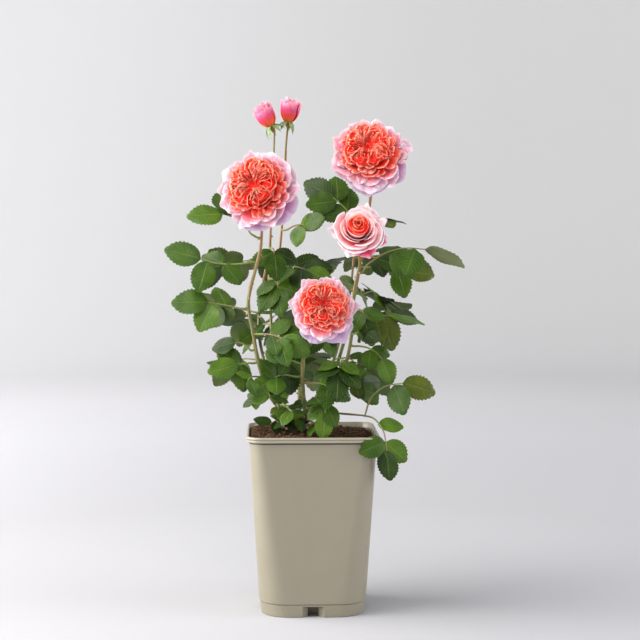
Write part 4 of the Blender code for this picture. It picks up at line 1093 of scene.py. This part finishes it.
def flower_frame(bloom):
    """The flower's middle and its own axes: two across its face and one out of it."""
    axis = Vector(bloom.axis).normalized()
    side = across(axis, Vector((1, 0, 0)))
    return Vector(bloom.centre) * MM, side, axis.cross(side), axis


def flower_foot(bloom):
    centre, _, _, axis = flower_frame(bloom)
    return centre + axis * bloom.foot * bloom.radius * MM


def share_out(rng, k, count, loose):
    """The bearing of one of a ring of parts, which may stray from its even place."""
    return 2 * math.pi * (k + rng.uniform(-loose, loose)) / count


def flower_stalk(bloom):
    """The stalk from the cane's cut end to the flower's foot, with the hip swelling at its top."""
    cane = CANE_NAMED[bloom.cane]
    axis = flower_frame(bloom)[3]
    path = cane_path(cane, 2)
    ahead = (path[-1] - path[-2]).normalized()
    start = path[-1] + ahead * CONTACT_GAP
    neck = flower_foot(bloom) - axis * CALYX_LENGTH
    middle = (start + ahead * 6 * MM).lerp(neck, 0.5)
    line = smooth_path([start, start + ahead * 4 * MM, middle, neck], 5)
    radius = cane.tip_radius * (1 - CANE_SLIM)
    radii = tapered(radius, 1, 0.1, len(line)) + [radius * HIP_NECK[1]]
    hip = FLOWER_HIP if bloom.radius > BUD_LIMIT else BUD_HIP
    line += [neck + axis * rise * MM for rise, _ in (HIP_NECK, *hip)]
    return line, radii + [swell for _, swell in hip]


def sepal_shape(base, forward, normal, length, width, curl):
    """A long tapering sepal, folded along its middle, its tip curled back."""
    side = forward.cross(normal)

    def place_point(u, v, s):
        share = math.sin(math.pi * min(v * 0.8 + 0.28, 1)) ** 0.8 if v < 0.9 else 0.28 * (1 - v) / 0.1 + 0.02
        half = width / 2 * share * (1 + (0.16 if round(v * SEPAL_ROWS) % 2 else -0.08) * abs(u))
        rise = 0.25 * abs(u) * half - curl * v * v * length + s * SEPAL_HALF_SKIN
        return base + forward * (v * length * (1 - 0.3 * curl * v)) + side * (u * half) + normal * rise
    return place_point


sepal_template = double_skin(4, 4, SEPAL_ROWS)
sepals = bmesh.new()
sepal_rng = random.Random(31)
for bloom in ALL_FLOWERS:
    _, side, other, axis = flower_frame(bloom)
    foot = flower_foot(bloom)
    for k in range(SEPALS):
        out = around(side, other, share_out(sepal_rng, k, SEPALS, 0.12) + 0.3)
        if bloom.radius < BUD_LIMIT:
            forward = (out * 0.8 + axis * sepal_rng.uniform(-1.0, -0.35)).normalized()
            long, wide, curl = 19 * MM, 6.5 * MM, sepal_rng.uniform(0.15, 0.45)
            start = foot + out * 3.2 * MM + axis * 1.5 * MM
        else:
            forward = (out - axis * sepal_rng.uniform(0.05, 0.5)).normalized()
            long, wide, curl = min(bloom.radius * 0.62, 27) * MM, 8.5 * MM, sepal_rng.uniform(0.25, 0.6)
            start = foot + out * 3.6 * MM - axis * 0.5 * MM
        lay(sepals, sepal_template, sepal_shape(start, forward, across(forward, axis), long, wide, curl))
weld(sepals)

sepal_skin = patchy_finish("sepal_skin", 0.55, 0.35, (260, 4), ((0.36, SEPAL_GREEN), (0.68, SEPAL_PALE)),
                           0.0002, (1200, 3))
flower_stalk_skin = patchy_finish("flower_stalk_skin", 0.5, 0.3, (90, 4, (1, 1, 0.3)),
                                  ((0.34, FLOWER_STALK_GREEN), (0.60, FLOWER_STALK_BROWN)), 0.0002, (700, 3))
flower_nodes = [bloom.name for bloom in ALL_FLOWERS]
set_out("flower_stalks", wands("flower_stalks", [flower_stalk(bloom) for bloom in ALL_FLOWERS], 3),
        flower_nodes, [flower_stalk_skin])
set_out("sepals", sepals, flower_nodes, [sepal_skin])

# --- Open roses ---
# Old-fashioned quartered flowers, crowded with thin petals. Broad guard petals lie round a shallow cup
# of ruffled ones, and inside it folded petals are packed in bundles whose edges run in to the middle.

PETAL = 0.5 * MM
THIN_PETAL = 0.4 * MM
HEART_SHIFT = 0.13
CORAL_DEEP = (1.0, 0.045, 0.024)
CORAL = (1.0, 0.088, 0.050)
CORAL_PINK = (1.0, 0.14, 0.090)
GOLD_EDGE = (1.0, 0.27, 0.17)
GUARD_BLUSH = (0.84, 0.34, 0.46)
GUARD_ROSE = (0.90, 0.20, 0.30)
# The lilac of the guard petals is painted shade, on their backs and on the faces of those on the side where the
# flower hangs open.
GUARD_PAINTED_SHADE = (0.60, 0.36, 0.58)
# Each kind of petal skin: its colours from the claw outwards, and the colour of its edge.
PETAL_LOOKS = {
    "guard_face": (((0.30, (0.92, 0.09, 0.10)), (0.50, GUARD_ROSE), (0.74, GUARD_BLUSH),
                    (0.92, (0.86, 0.48, 0.59))), (0.91, 0.68, 0.76)),
    # Painted shade: the guard petals' backs turn lilac, as they look in shadow.
    "guard_back": (((0.25, GUARD_ROSE), (0.50, GUARD_PAINTED_SHADE), (0.85, (0.55, 0.38, 0.58))), (0.80, 0.62, 0.76)),
    # Painted shade: a guard petal's face in lilac, as it looks in shadow.
    "lilac_face": (((0.30, CORAL), (0.50, (0.66, 0.13, 0.30)), (0.72, (0.42, 0.19, 0.40))),
                   (0.64, 0.44, 0.62)),
    "rim_face": (((0.35, (0.94, 0.07, 0.07)), (0.60, (0.93, 0.17, 0.21)), (0.84, (0.94, 0.34, 0.41))),
                 (0.97, 0.68, 0.73)),
    "rim_back": (((0.35, (0.86, 0.09, 0.14)), (0.62, (0.88, 0.24, 0.35)), (0.84, (0.91, 0.46, 0.57))),
                 (0.98, 0.76, 0.81)),
    "cup_face": (((0.40, CORAL_DEEP), (0.68, CORAL), (0.90, (1.0, 0.20, 0.15))), (1.0, 0.48, 0.41)),
    "cup_back": (((0.35, (0.94, 0.055, 0.06)), (0.62, (0.95, 0.12, 0.15)), (0.86, (0.99, 0.34, 0.33))),
                 (1.0, 0.62, 0.58)),
    "heart_face": (((0.40, CORAL_DEEP), (0.70, CORAL), (0.92, CORAL_PINK)), GOLD_EDGE),
    "heart_back": (((0.40, CORAL_DEEP), (0.66, (1.0, 0.10, 0.07)), (0.90, (1.0, 0.24, 0.18))), GOLD_EDGE),
}
# The two rows of guard petals: how many, how wide, how far out and how high their ends lie.
GUARD_ROWS = ((6, 0.60, 0.99, -0.22), (7, 0.50, 0.92, -0.08))
# The four rows of the cup: the piece, how many petals, how far out and how high their ends are, how wide.
CUP_ROWS = (("rim", 9, 0.77, 0.01, 0.42), ("cup", 11, 0.66, 0.10, 0.35), ("cup", 11, 0.575, 0.17, 0.32),
            ("cup", 10, 0.50, 0.22, 0.31))
BUNDLES = 9
FOLD_REACH = 0.54
FOLD_STEP = 0.07
CENTRE_PETALS = 26
GOLDEN_TURN = 2.4


def bend_line(start, pull, end, share):
    """A point on the curve from start to end, drawn towards pull."""
    return tuple(a * (1 - share) ** 2 + 2 * b * share * (1 - share) + c * share * share
                 for a, b, c in zip(start, pull, end))


def petal_skin(bloom, surface, thickness=PETAL, shift=0.0):
    """Gives the petal thickness: surface(u, v) is its middle in (turn, reach, height) about the flower.

    shift moves it away from the side where the flower hangs open widest.
    """
    centre, side, other, axis = flower_frame(bloom)
    size = bloom.radius * MM
    centre = centre - around(side, other, bloom.hang) * shift * size

    def point(u, v):
        turn, reach, height = surface(u, v)
        return centre + (around(side, other, turn) * reach + axis * height) * size

    def place_point(u, v, s):
        middle = point(u, v)
        if not s:
            return middle
        normal = (point(u + 0.02, v) - point(u - 0.02, v)).cross(point(u, v + 0.02) - point(u, v - 0.02))
        return middle + normal.normalized() * s * thickness / 2
    return place_point


def round_petal(turn, spread, profile, rng, ruffle=0.03, rounding=0.16, notch_in=0.05, curl=0.0, spiral=0.0):
    """A petal broader than long, cupped across, with a wavy rounded edge that may roll back."""
    start, pull, end = profile
    phase = rng.uniform(*ANY_TURN)
    waves = rng.uniform(1.6, 2.6)
    lean = rng.uniform(-0.06, 0.06)
    cup = rng.uniform(0.02, 0.07)

    def surface(u, v):
        reach, height = bend_line(start, pull, end, v)
        widen = 0.62 + 0.38 * math.sin(math.pi * min(v * 1.15, 1) / 2)
        shorten = rounding * abs(u) ** 2.6 + notch_in * math.exp(-(u / 0.16) ** 2) * 0.6
        reach -= (end[0] - start[0]) * shorten * v * v
        height -= (end[1] - start[1]) * shorten * v * v
        wave = math.sin(waves * u * math.pi + phase) + 0.5 * math.sin(2.3 * waves * u * math.pi + 2 * phase)
        height += ruffle * wave * v ** 3 + cup * u * u * v
        reach += 0.5 * ruffle * wave * v ** 3
        roll = max(v - 0.72, 0) / 0.28
        height -= curl * roll * roll
        reach += 0.6 * curl * roll
        reach *= 1 + spiral * u
        return turn + lean * v - u * spread * widen, max(reach, 0.01), height
    return surface


def crown(reach):
    """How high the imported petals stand, at a distance from the middle."""
    return 0.16 + 0.16 * math.sin(min(reach / 0.36, 1) * QUARTER) - 0.9 * max(reach - 0.36, 0) ** 1.5


def fill_bed(bloom, rng):
    """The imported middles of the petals, a lumpy dome that closes the folds from below."""
    phase = rng.uniform(*ANY_TURN)
    middle = petal_skin(bloom, lambda u, v: (u, v, crown(v) - 0.12 + 0.02 * math.sin(11 * u + phase) * v), 0,
                        HEART_SHIFT)
    axis = flower_frame(bloom)[3]

    def place_point(x, y, z):
        spot = middle(math.atan2(y, x), 0.50 * math.hypot(x, y), 0)
        return spot if z > -0.01 else spot + axis * z * 5 * MM
    return place_point


def folded_petal(turn, opening, far, near, slant, rng):
    """One of a bundle: folded round in a narrow loop, its two arms running in to the middle."""
    phase = rng.uniform(*ANY_TURN)
    lift = rng.uniform(-0.04, 0.035)
    kink = rng.uniform(0.02, 0.05)

    def surface(u, v):
        arm = abs(u)
        side_of = -1 if u < 0 else 1
        top = near + (far - near) * (1 - arm ** 2.2)
        swing = opening * math.sin(min(arm * 1.7, 1) * QUARTER) * side_of
        wobble = math.sin(arm * 6 + phase) * kink + math.sin(arm * 13 + 2 * phase) * kink * 0.5
        reach = top * (1 - 0.85 * (1 - v) ** 2.0)
        height = -0.26 + (crown(top) + lift + 0.26) * v + 0.028 * math.sin(u * 10 + phase) * v * v
        edge = max(v - 0.72, 0) / 0.28
        reach += 0.045 * edge * (1 - arm)
        height -= 0.035 * edge * edge
        lean = slant * (v - 0.5) + 0.05 * edge * side_of * (1 if slant > 0 else -1)
        return turn - swing + (wobble * v + lean) / max(top, 0.22) * 0.62, reach, height
    return surface


def fan_petal(turn, far, near, slant, rng):
    """A narrow petal standing on edge along a spoke of the flower, leaning over its neighbour."""
    phase = rng.uniform(*ANY_TURN)
    lift = rng.uniform(-0.03, 0.045)

    def surface(u, v):
        top = near + (far - near) * (u + 1) / 2
        reach = top * (1 - 0.7 * (1 - v) ** 2.0)
        rounded = 1 - 0.35 * abs(u) ** 4
        height = -0.2 + (crown(top) + lift + 0.2) * v * rounded
        wobble = math.sin(u * 4 + phase) * 0.040 + math.sin(u * 9 + 2 * phase) * 0.018
        roll = max(v - 0.7, 0) / 0.3
        lean = slant * (v - 0.4) + 0.05 * roll * roll * (1 if slant > 0 else -1)
        height -= 0.03 * roll * roll
        return turn + (wobble * v + lean) / max(top, 0.2) * 0.62, reach, height
    return surface


petal_template = double_skin(12, 12, 7)
broad_template = double_skin(18, 18, 9)
small_template = double_skin(10, 10, 6)
bed_ball = bmesh.new()
bmesh.ops.create_uvsphere(bed_ball, u_segments=36, v_segments=16, radius=1, calc_uvs=True)
bed_template = as_mesh(bed_ball, "template")
petals = {name: bmesh.new() for name in ("guard", "lilac", "rim", "cup", "heart")}
beds = bmesh.new()


def lay_in_heart(bloom, surface):
    lay(petals["heart"], small_template, petal_skin(bloom, surface, THIN_PETAL, HEART_SHIFT))


for bloom in BLOOMS:
    rng = random.Random(sum(map(ord, bloom.name)))
    twist = rng.uniform(*ANY_TURN)
    for row, (count, spread, out, rise) in enumerate(GUARD_ROWS):
        for k in range(count):
            turn = twist + 0.45 * row + share_out(rng, k, count, 0.22)
            open_side = math.cos(turn - bloom.hang)
            reach = out * (0.96 + 0.04 * open_side) * rng.uniform(0.94, 1.0)
            profile = ((0.05, -0.30 + 0.03 * row), (0.62, -0.34 + 0.05 * row),
                       (reach, rise - 0.07 * open_side + rng.uniform(-0.04, 0.06)))
            shape = round_petal(turn, spread * rng.uniform(0.85, 1.15), profile, rng,
                                rng.uniform(0.025, 0.05), rng.uniform(0.14, 0.24), rng.uniform(-0.26, 0.08),
                                rng.uniform(0.0, 0.10))
            # Outer guard petals on the side where the flower hangs open get a lilac face of painted shade.
            lay(petals["lilac" if open_side > 0.45 and row == 0 else "guard"], broad_template,
                petal_skin(bloom, shape, PETAL, 0.05))
    for row, (name, count, out, rise, spread) in enumerate(CUP_ROWS):
        for k in range(count):
            turn = twist + 0.3 * row + share_out(rng, k, count, 0.3)
            reach = out * (1 + 0.05 * math.cos(turn - bloom.hang)) * rng.uniform(0.95, 1.05)
            profile = ((0.05, -0.24), (reach * 0.93, -0.22 + 0.06 * row),
                       (reach, rise + rng.uniform(-0.05, 0.04)))
            shape = round_petal(turn, spread * rng.uniform(0.75, 1.2), profile, rng, 0.045, 0.22,
                                rng.uniform(-0.12, 0.2), rng.uniform(0.03, 0.13))
            lay(petals[name], petal_template, petal_skin(bloom, shape, PETAL, 0.06 + 0.02 * row))
    turn = twist
    for _ in range(BUNDLES):
        wide = rng.uniform(0.24, 0.46)
        turn += wide
        slant = rng.choice((-1, 1)) * rng.uniform(0.08, 0.22)
        for step, share in enumerate((0.95, 0.55)):
            lay_in_heart(bloom, folded_petal(
                turn + rng.uniform(-0.06, 0.06), wide * share, FOLD_REACH - FOLD_STEP * step
                + rng.uniform(-0.06, 0.04), rng.uniform(0.06, 0.24), slant * rng.uniform(0.4, 1.3), rng))
        for blade in (-0.55, 0.05, 0.6):
            lay_in_heart(bloom, fan_petal(
                turn + blade * wide + rng.uniform(-0.08, 0.08), rng.uniform(0.38, 0.56),
                rng.uniform(0.04, 0.16), slant * rng.uniform(0.4, 1.6), rng))
        turn += wide
    for k in range(CENTRE_PETALS):
        reach = 0.05 + 0.45 * (k / CENTRE_PETALS) ** 0.7
        profile = ((0.02, -0.2), (reach * 1.1, 0.0),
                   (reach * rng.uniform(0.9, 1.1), crown(reach) + rng.uniform(-0.04, 0.04)))
        lay_in_heart(bloom, round_petal(twist + GOLDEN_TURN * k, rng.uniform(0.08, 0.13) / reach, profile,
                                        rng, 0.03, 0.3, 0.1, 0.03))
    lay(beds, bed_template, fill_bed(bloom, rng))


def petal_finish(name, stops, edge):
    """Petal skin: shaded from its claw to its edge, with fine lengthwise veins and a soft bloom."""
    material, tree, shader, place = start_finish("petal_" + name, 0.6, 0.08)
    uv = blade_place(tree)
    uneven = calculate(tree, "MULTIPLY_ADD", mottle(tree, place, 130, 4), 0.22, axis_of(tree, uv, "Y"))
    tree.links.new(shades(tree, calculate(tree, "SUBTRACT", uneven, 0.11), stops + ((0.985, edge),)),
                   shader.inputs["Base Color"])
    relief(tree, shader, mottle(tree, uv, 1.0, 2.0, (46, 2.2, 1)), 0.0005)
    shader.inputs["Subsurface Weight"].default_value = 0.5
    shader.inputs["Subsurface Scale"].default_value = 0.005
    shader.inputs["Subsurface Radius"].default_value = (1.0, 0.35, 0.25)
    return material


petal_skins = {name: petal_finish(name, *look) for name, look in PETAL_LOOKS.items()}
heart_skins = [petal_skins["heart_face"], petal_skins["heart_back"]]
open_nodes = [bloom.name for bloom in BLOOMS]
for name, skin in petals.items():
    weld(skin)
    back = petal_skins["guard_back" if name == "lilac" else name + "_back"]
    set_out("petals_" + name, skin, open_nodes, [petal_skins[name + "_face"], back])
bed_skin = patchy_finish("petal_bed", 0.6, 0.2, (160, 4), ((0.36, (0.82, 0.026, 0.018)), (0.64, CORAL_DEEP)),
                         0.0004, (420, 3))
set_out("petal_beds", beds, open_nodes, [bed_skin])

# --- Half-open rose ---
# A younger flower, still a spiral: each petal wraps half round the next, deep coral inside and pale
# outside, with its edge rolled back, and the six outermost have begun to lie open.

# The outermost petals: their bearing and how high their ends stand. The two at the foot are deeper pink.
OUTER_PETALS = ((1.35, 0.10), (3.15, -0.05), (4.25, -0.15), (5.1, -0.20), (5.9, -0.08), (0.35, 0.05))
HOT_PETALS = (3, 4)
# Rings of the spiral, from the outside in: reach, height, half width, how many petals, how far they roll.
SPIRAL_RINGS = ((0.84, 0.04, 0.80, 4, 0.14), (0.72, 0.14, 0.95, 3, 0.16), (0.59, 0.24, 1.05, 3, 0.15),
                (0.48, 0.31, 1.15, 3, 0.12), (0.39, 0.36, 1.2, 3, 0.08), (0.31, 0.40, 1.3, 3, 0.06),
                (0.23, 0.43, 1.4, 2, 0.05), (0.16, 0.44, 1.6, 2, 0.03), (0.09, 0.45, 2.0, 2, 0.02))
PALE_RINGS = 5

half_open = bmesh.new()
hot_petals = bmesh.new()
spiral_heart = bmesh.new()
rng = random.Random(12)
for k, (turn, height) in enumerate(OUTER_PETALS):
    hot = k in HOT_PETALS
    profile = ((0.06, -0.50), (0.66, -0.46), (rng.uniform(0.86, 0.96) + (0.08 if hot else 0), height))
    shape = round_petal(turn, rng.uniform(0.34, 0.52), profile, rng, 0.06, 0.26, rng.uniform(-0.30, -0.10),
                        rng.uniform(0.05, 0.2))
    lay(hot_petals if hot else half_open, broad_template, petal_skin(HALF_OPEN, shape))
for ring, (reach, height, spread, count, roll) in enumerate(SPIRAL_RINGS):
    first = rng.uniform(*ANY_TURN)
    for k in range(count):
        turn = first + share_out(rng, k, count, 0.1)
        profile = ((0.05, -0.46), (reach * 1.05, -0.30),
                   (reach * rng.uniform(0.95, 1.05), height + rng.uniform(-0.04, 0.03)))
        shape = round_petal(turn, spread, profile, rng, 0.020, 0.12, rng.uniform(-0.12, 0.02), roll, 0.10)
        lay(half_open if ring < PALE_RINGS else spiral_heart, broad_template,
            petal_skin(HALF_OPEN, shape, PETAL, 0.014 * ring))
core_spot = petal_skin(HALF_OPEN, lambda u, v: (u, v, 0.14), 0, 0.10)
core_axis = flower_frame(HALF_OPEN)[3]
core = bmesh.new()
lay(core, bed_template, lambda x, y, z: core_spot(math.atan2(y, x), 0.40 * math.hypot(x, y), 0)
    + core_axis * z * (3 if z > 0 else 9) * MM)
for skin in (half_open, hot_petals, spiral_heart):
    weld(skin)
spiral_face = petal_finish("spiral_face", ((0.28, CORAL), (0.46, (0.98, 0.22, 0.22)),
                                           (0.64, (0.99, 0.46, 0.50)), (0.84, (0.99, 0.60, 0.64))),
                           (1.0, 0.80, 0.82))
spiral_back = petal_finish("spiral_back", ((0.25, (0.97, 0.27, 0.30)), (0.50, (0.97, 0.46, 0.52)),
                                           (0.75, (0.99, 0.60, 0.65))), (1.0, 0.80, 0.83))
hot_face = petal_finish("hot_face", ((0.35, (0.90, 0.045, 0.09)), (0.75, (0.90, 0.07, 0.20))),
                        (0.95, 0.28, 0.42))
set_out("petals_half_open", half_open, ["rose_half_open"], [spiral_face, spiral_back])
set_out("petals_half_open_foot", hot_petals, ["rose_half_open"], [hot_face, hot_face])
set_out("petals_half_open_heart", spiral_heart, ["rose_half_open"], heart_skins)
set_out("petal_core", core, ["rose_half_open"], [bed_skin])

# --- Buds ---
# Two buds showing colour: a few thin petals loosely furled to a point, hot pink outside and orange at the
# foot, each standing in its five sepals on a slender hip.

# Rings of the bud, from the outside in: reach, height, half width, how many petals.
BUD_RINGS = ((1.02, 1.50, 0.95, 4), (0.80, 1.72, 1.2, 3), (0.52, 1.78, 1.5, 3))
BUD_PINK = (0.82, 0.08, 0.21)

bud_petals = bmesh.new()
for bloom in BUDS:
    rng = random.Random(sum(map(ord, bloom.name)))
    for reach, height, spread, count in BUD_RINGS:
        first = rng.uniform(*ANY_TURN)
        for k in range(count):
            turn = first + share_out(rng, k, count, 0.15)
            profile = ((0.30, -1.1), (reach * 1.3, -0.4),
                       (reach * rng.uniform(0.75, 0.95), height + rng.uniform(-0.3, 0.1)))
            shape = round_petal(turn, spread, profile, rng, 0.13, 0.16, rng.uniform(-0.08, 0.05),
                                0.34 * min(reach, 1), 0.08)
            lay(bud_petals, broad_template, petal_skin(bloom, shape, THIN_PETAL))
weld(bud_petals)
bud_back = petal_finish("bud_back", ((0.26, (0.95, 0.13, 0.04)), (0.46, (0.93, 0.07, 0.07)),
                                     (0.66, BUD_PINK)), (0.94, 0.36, 0.50))
set_out("petals_buds", bud_petals, [bloom.name for bloom in BUDS], [hot_face, bud_back])

# --- Floor, backdrop and lights ---
# A pale seamless sweep behind and under the plant, with a large soft light high on the left, a small one
# high in front, a weak one low on the left and a cool one that picks out the right-hand edges.

FLOOR_REACH = 3.4
FLOOR_RINGS = (0, 0.6, 1.4)
COVE_RADIUS = 1.6
COVE_STEPS = 12
WALL_TOP = 2.4
SWEEP_STEPS = 96
# Painted light on the paper: its colour from the middle outwards, and painted shading from left to right.
PAPER_PAINTED_FADE = ((0.07, (0.520, 0.516, 0.546)), (0.30, (0.70, 0.696, 0.737)), (0.52, (0.815, 0.808, 0.85)),
              (0.80, (0.855, 0.85, 0.88)), (1.0, (0.838, 0.836, 0.854)))
PAPER_PAINTED_SIDE_SHADE = ((0.0, UNSHADED), (1.0, (0.785, 0.785, 0.78)))
AIR = (1.0, 1.0, 1.0, 1)
AIR_STRENGTH = 0.45
AIM = Vector((0, 0, 0.36))
# Name, place, width in metres, watts and colour; every lamp is turned towards AIM.
LAMPS = (
    ("key", (-2.5, -0.40, 2.1), 3.6, 215, (1.0, 0.985, 0.95)),
    ("top", (-0.4, -1.6, 2.8), 1.2, 15, (1.0, 0.99, 0.97)),
    ("low_left", (-1.9, -0.3, 0.45), 1.1, 27, (1.0, 0.99, 0.95)),
    ("edge", (2.3, -0.6, 0.9), 1.6, 42, (0.95, 0.97, 1.0)),
)

outline = [(reach, 0) for reach in (*FLOOR_RINGS, FLOOR_REACH)]
for step in range(1, COVE_STEPS + 1):
    angle = QUARTER * step / COVE_STEPS
    outline.append((FLOOR_REACH + COVE_RADIUS * math.sin(angle), COVE_RADIUS * (1 - math.cos(angle))))
outline.append((FLOOR_REACH + COVE_RADIUS, WALL_TOP))
sweep = bmesh.new()
chain = [sweep.verts.new((reach, 0, height)) for reach, height in outline]
links = [sweep.edges.new(pair) for pair in zip(chain, chain[1:])]
bmesh.ops.spin(sweep, geom=chain + links, axis=UP, cent=(0, 0, 0), angle=2 * math.pi, steps=SWEEP_STEPS,
               use_merge=True)
bmesh.ops.remove_doubles(sweep, verts=sweep.verts, dist=0.1 * MM)
bmesh.ops.recalc_face_normals(sweep, faces=sweep.faces)
studio_sweep = stand("studio_sweep", as_mesh(sweep, "studio_sweep"))
studio_sweep.data.shade_smooth()
paper, tree, shader, place = start_finish("studio_paper", 0.9, 0.1)
away = add_node(tree, "VectorMath", {0: place}, operation="LENGTH").outputs["Value"]
# Painted light: the paper is darker near the middle and towards the right, and lighter towards the wall and the
# left.
painted_fade = shades(tree, remap(tree, away, 0.0, 5.0, 0.0, 1.0), PAPER_PAINTED_FADE)
sides = shades(tree, remap(tree, axis_of(tree, place, "X"), -1.6, 1.0, 0.0, 1.0), PAPER_PAINTED_SIDE_SHADE)
tree.links.new(blend_colours(tree, 1.0, painted_fade, sides, "MULTIPLY"), shader.inputs["Base Color"])
studio_sweep.data.materials.append(paper)

world = bpy.data.worlds.new("studio_air")
bpy.context.scene.world = world
world.use_nodes = True
world.node_tree.nodes["Background"].inputs["Color"].default_value = AIR
world.node_tree.nodes["Background"].inputs["Strength"].default_value = AIR_STRENGTH
for name, spot, size, watts, colour in LAMPS:
    light = bpy.data.lights.new(name, "AREA")
    light.size = size
    light.energy = watts
    light.color = colour
    lamp = stand(name, light)
    lamp.location = spot
    lamp.rotation_euler = (AIM - Vector(spot)).to_track_quat("-Z", "Y").to_euler()
    lamp.visible_camera = False
bpy.context.scene.view_settings.view_transform = "Standard"

# --- Camera ---
# Level with the flowers and a little to the left of the pot's middle, looking slightly down through a
# long lens.

SENSOR_WIDTH = 36
FOCAL_PIXELS = 1672
PICTURE_WIDTH = 640
CAMERA_SPOT = (-0.0572, -2.2, 0.514)
LOOK_DOWN = 3.45
LOOK_RIGHT = 1.77

camera_data = bpy.data.cameras.new("camera")
camera_data.sensor_width = SENSOR_WIDTH
camera_data.lens = SENSOR_WIDTH * FOCAL_PIXELS / PICTURE_WIDTH
camera_data.clip_end = 60
camera = stand("camera", camera_data)
camera.location = CAMERA_SPOT
camera.rotation_euler = (math.radians(90 - LOOK_DOWN), 0, math.radians(-LOOK_RIGHT))
bpy.context.scene.camera = camera
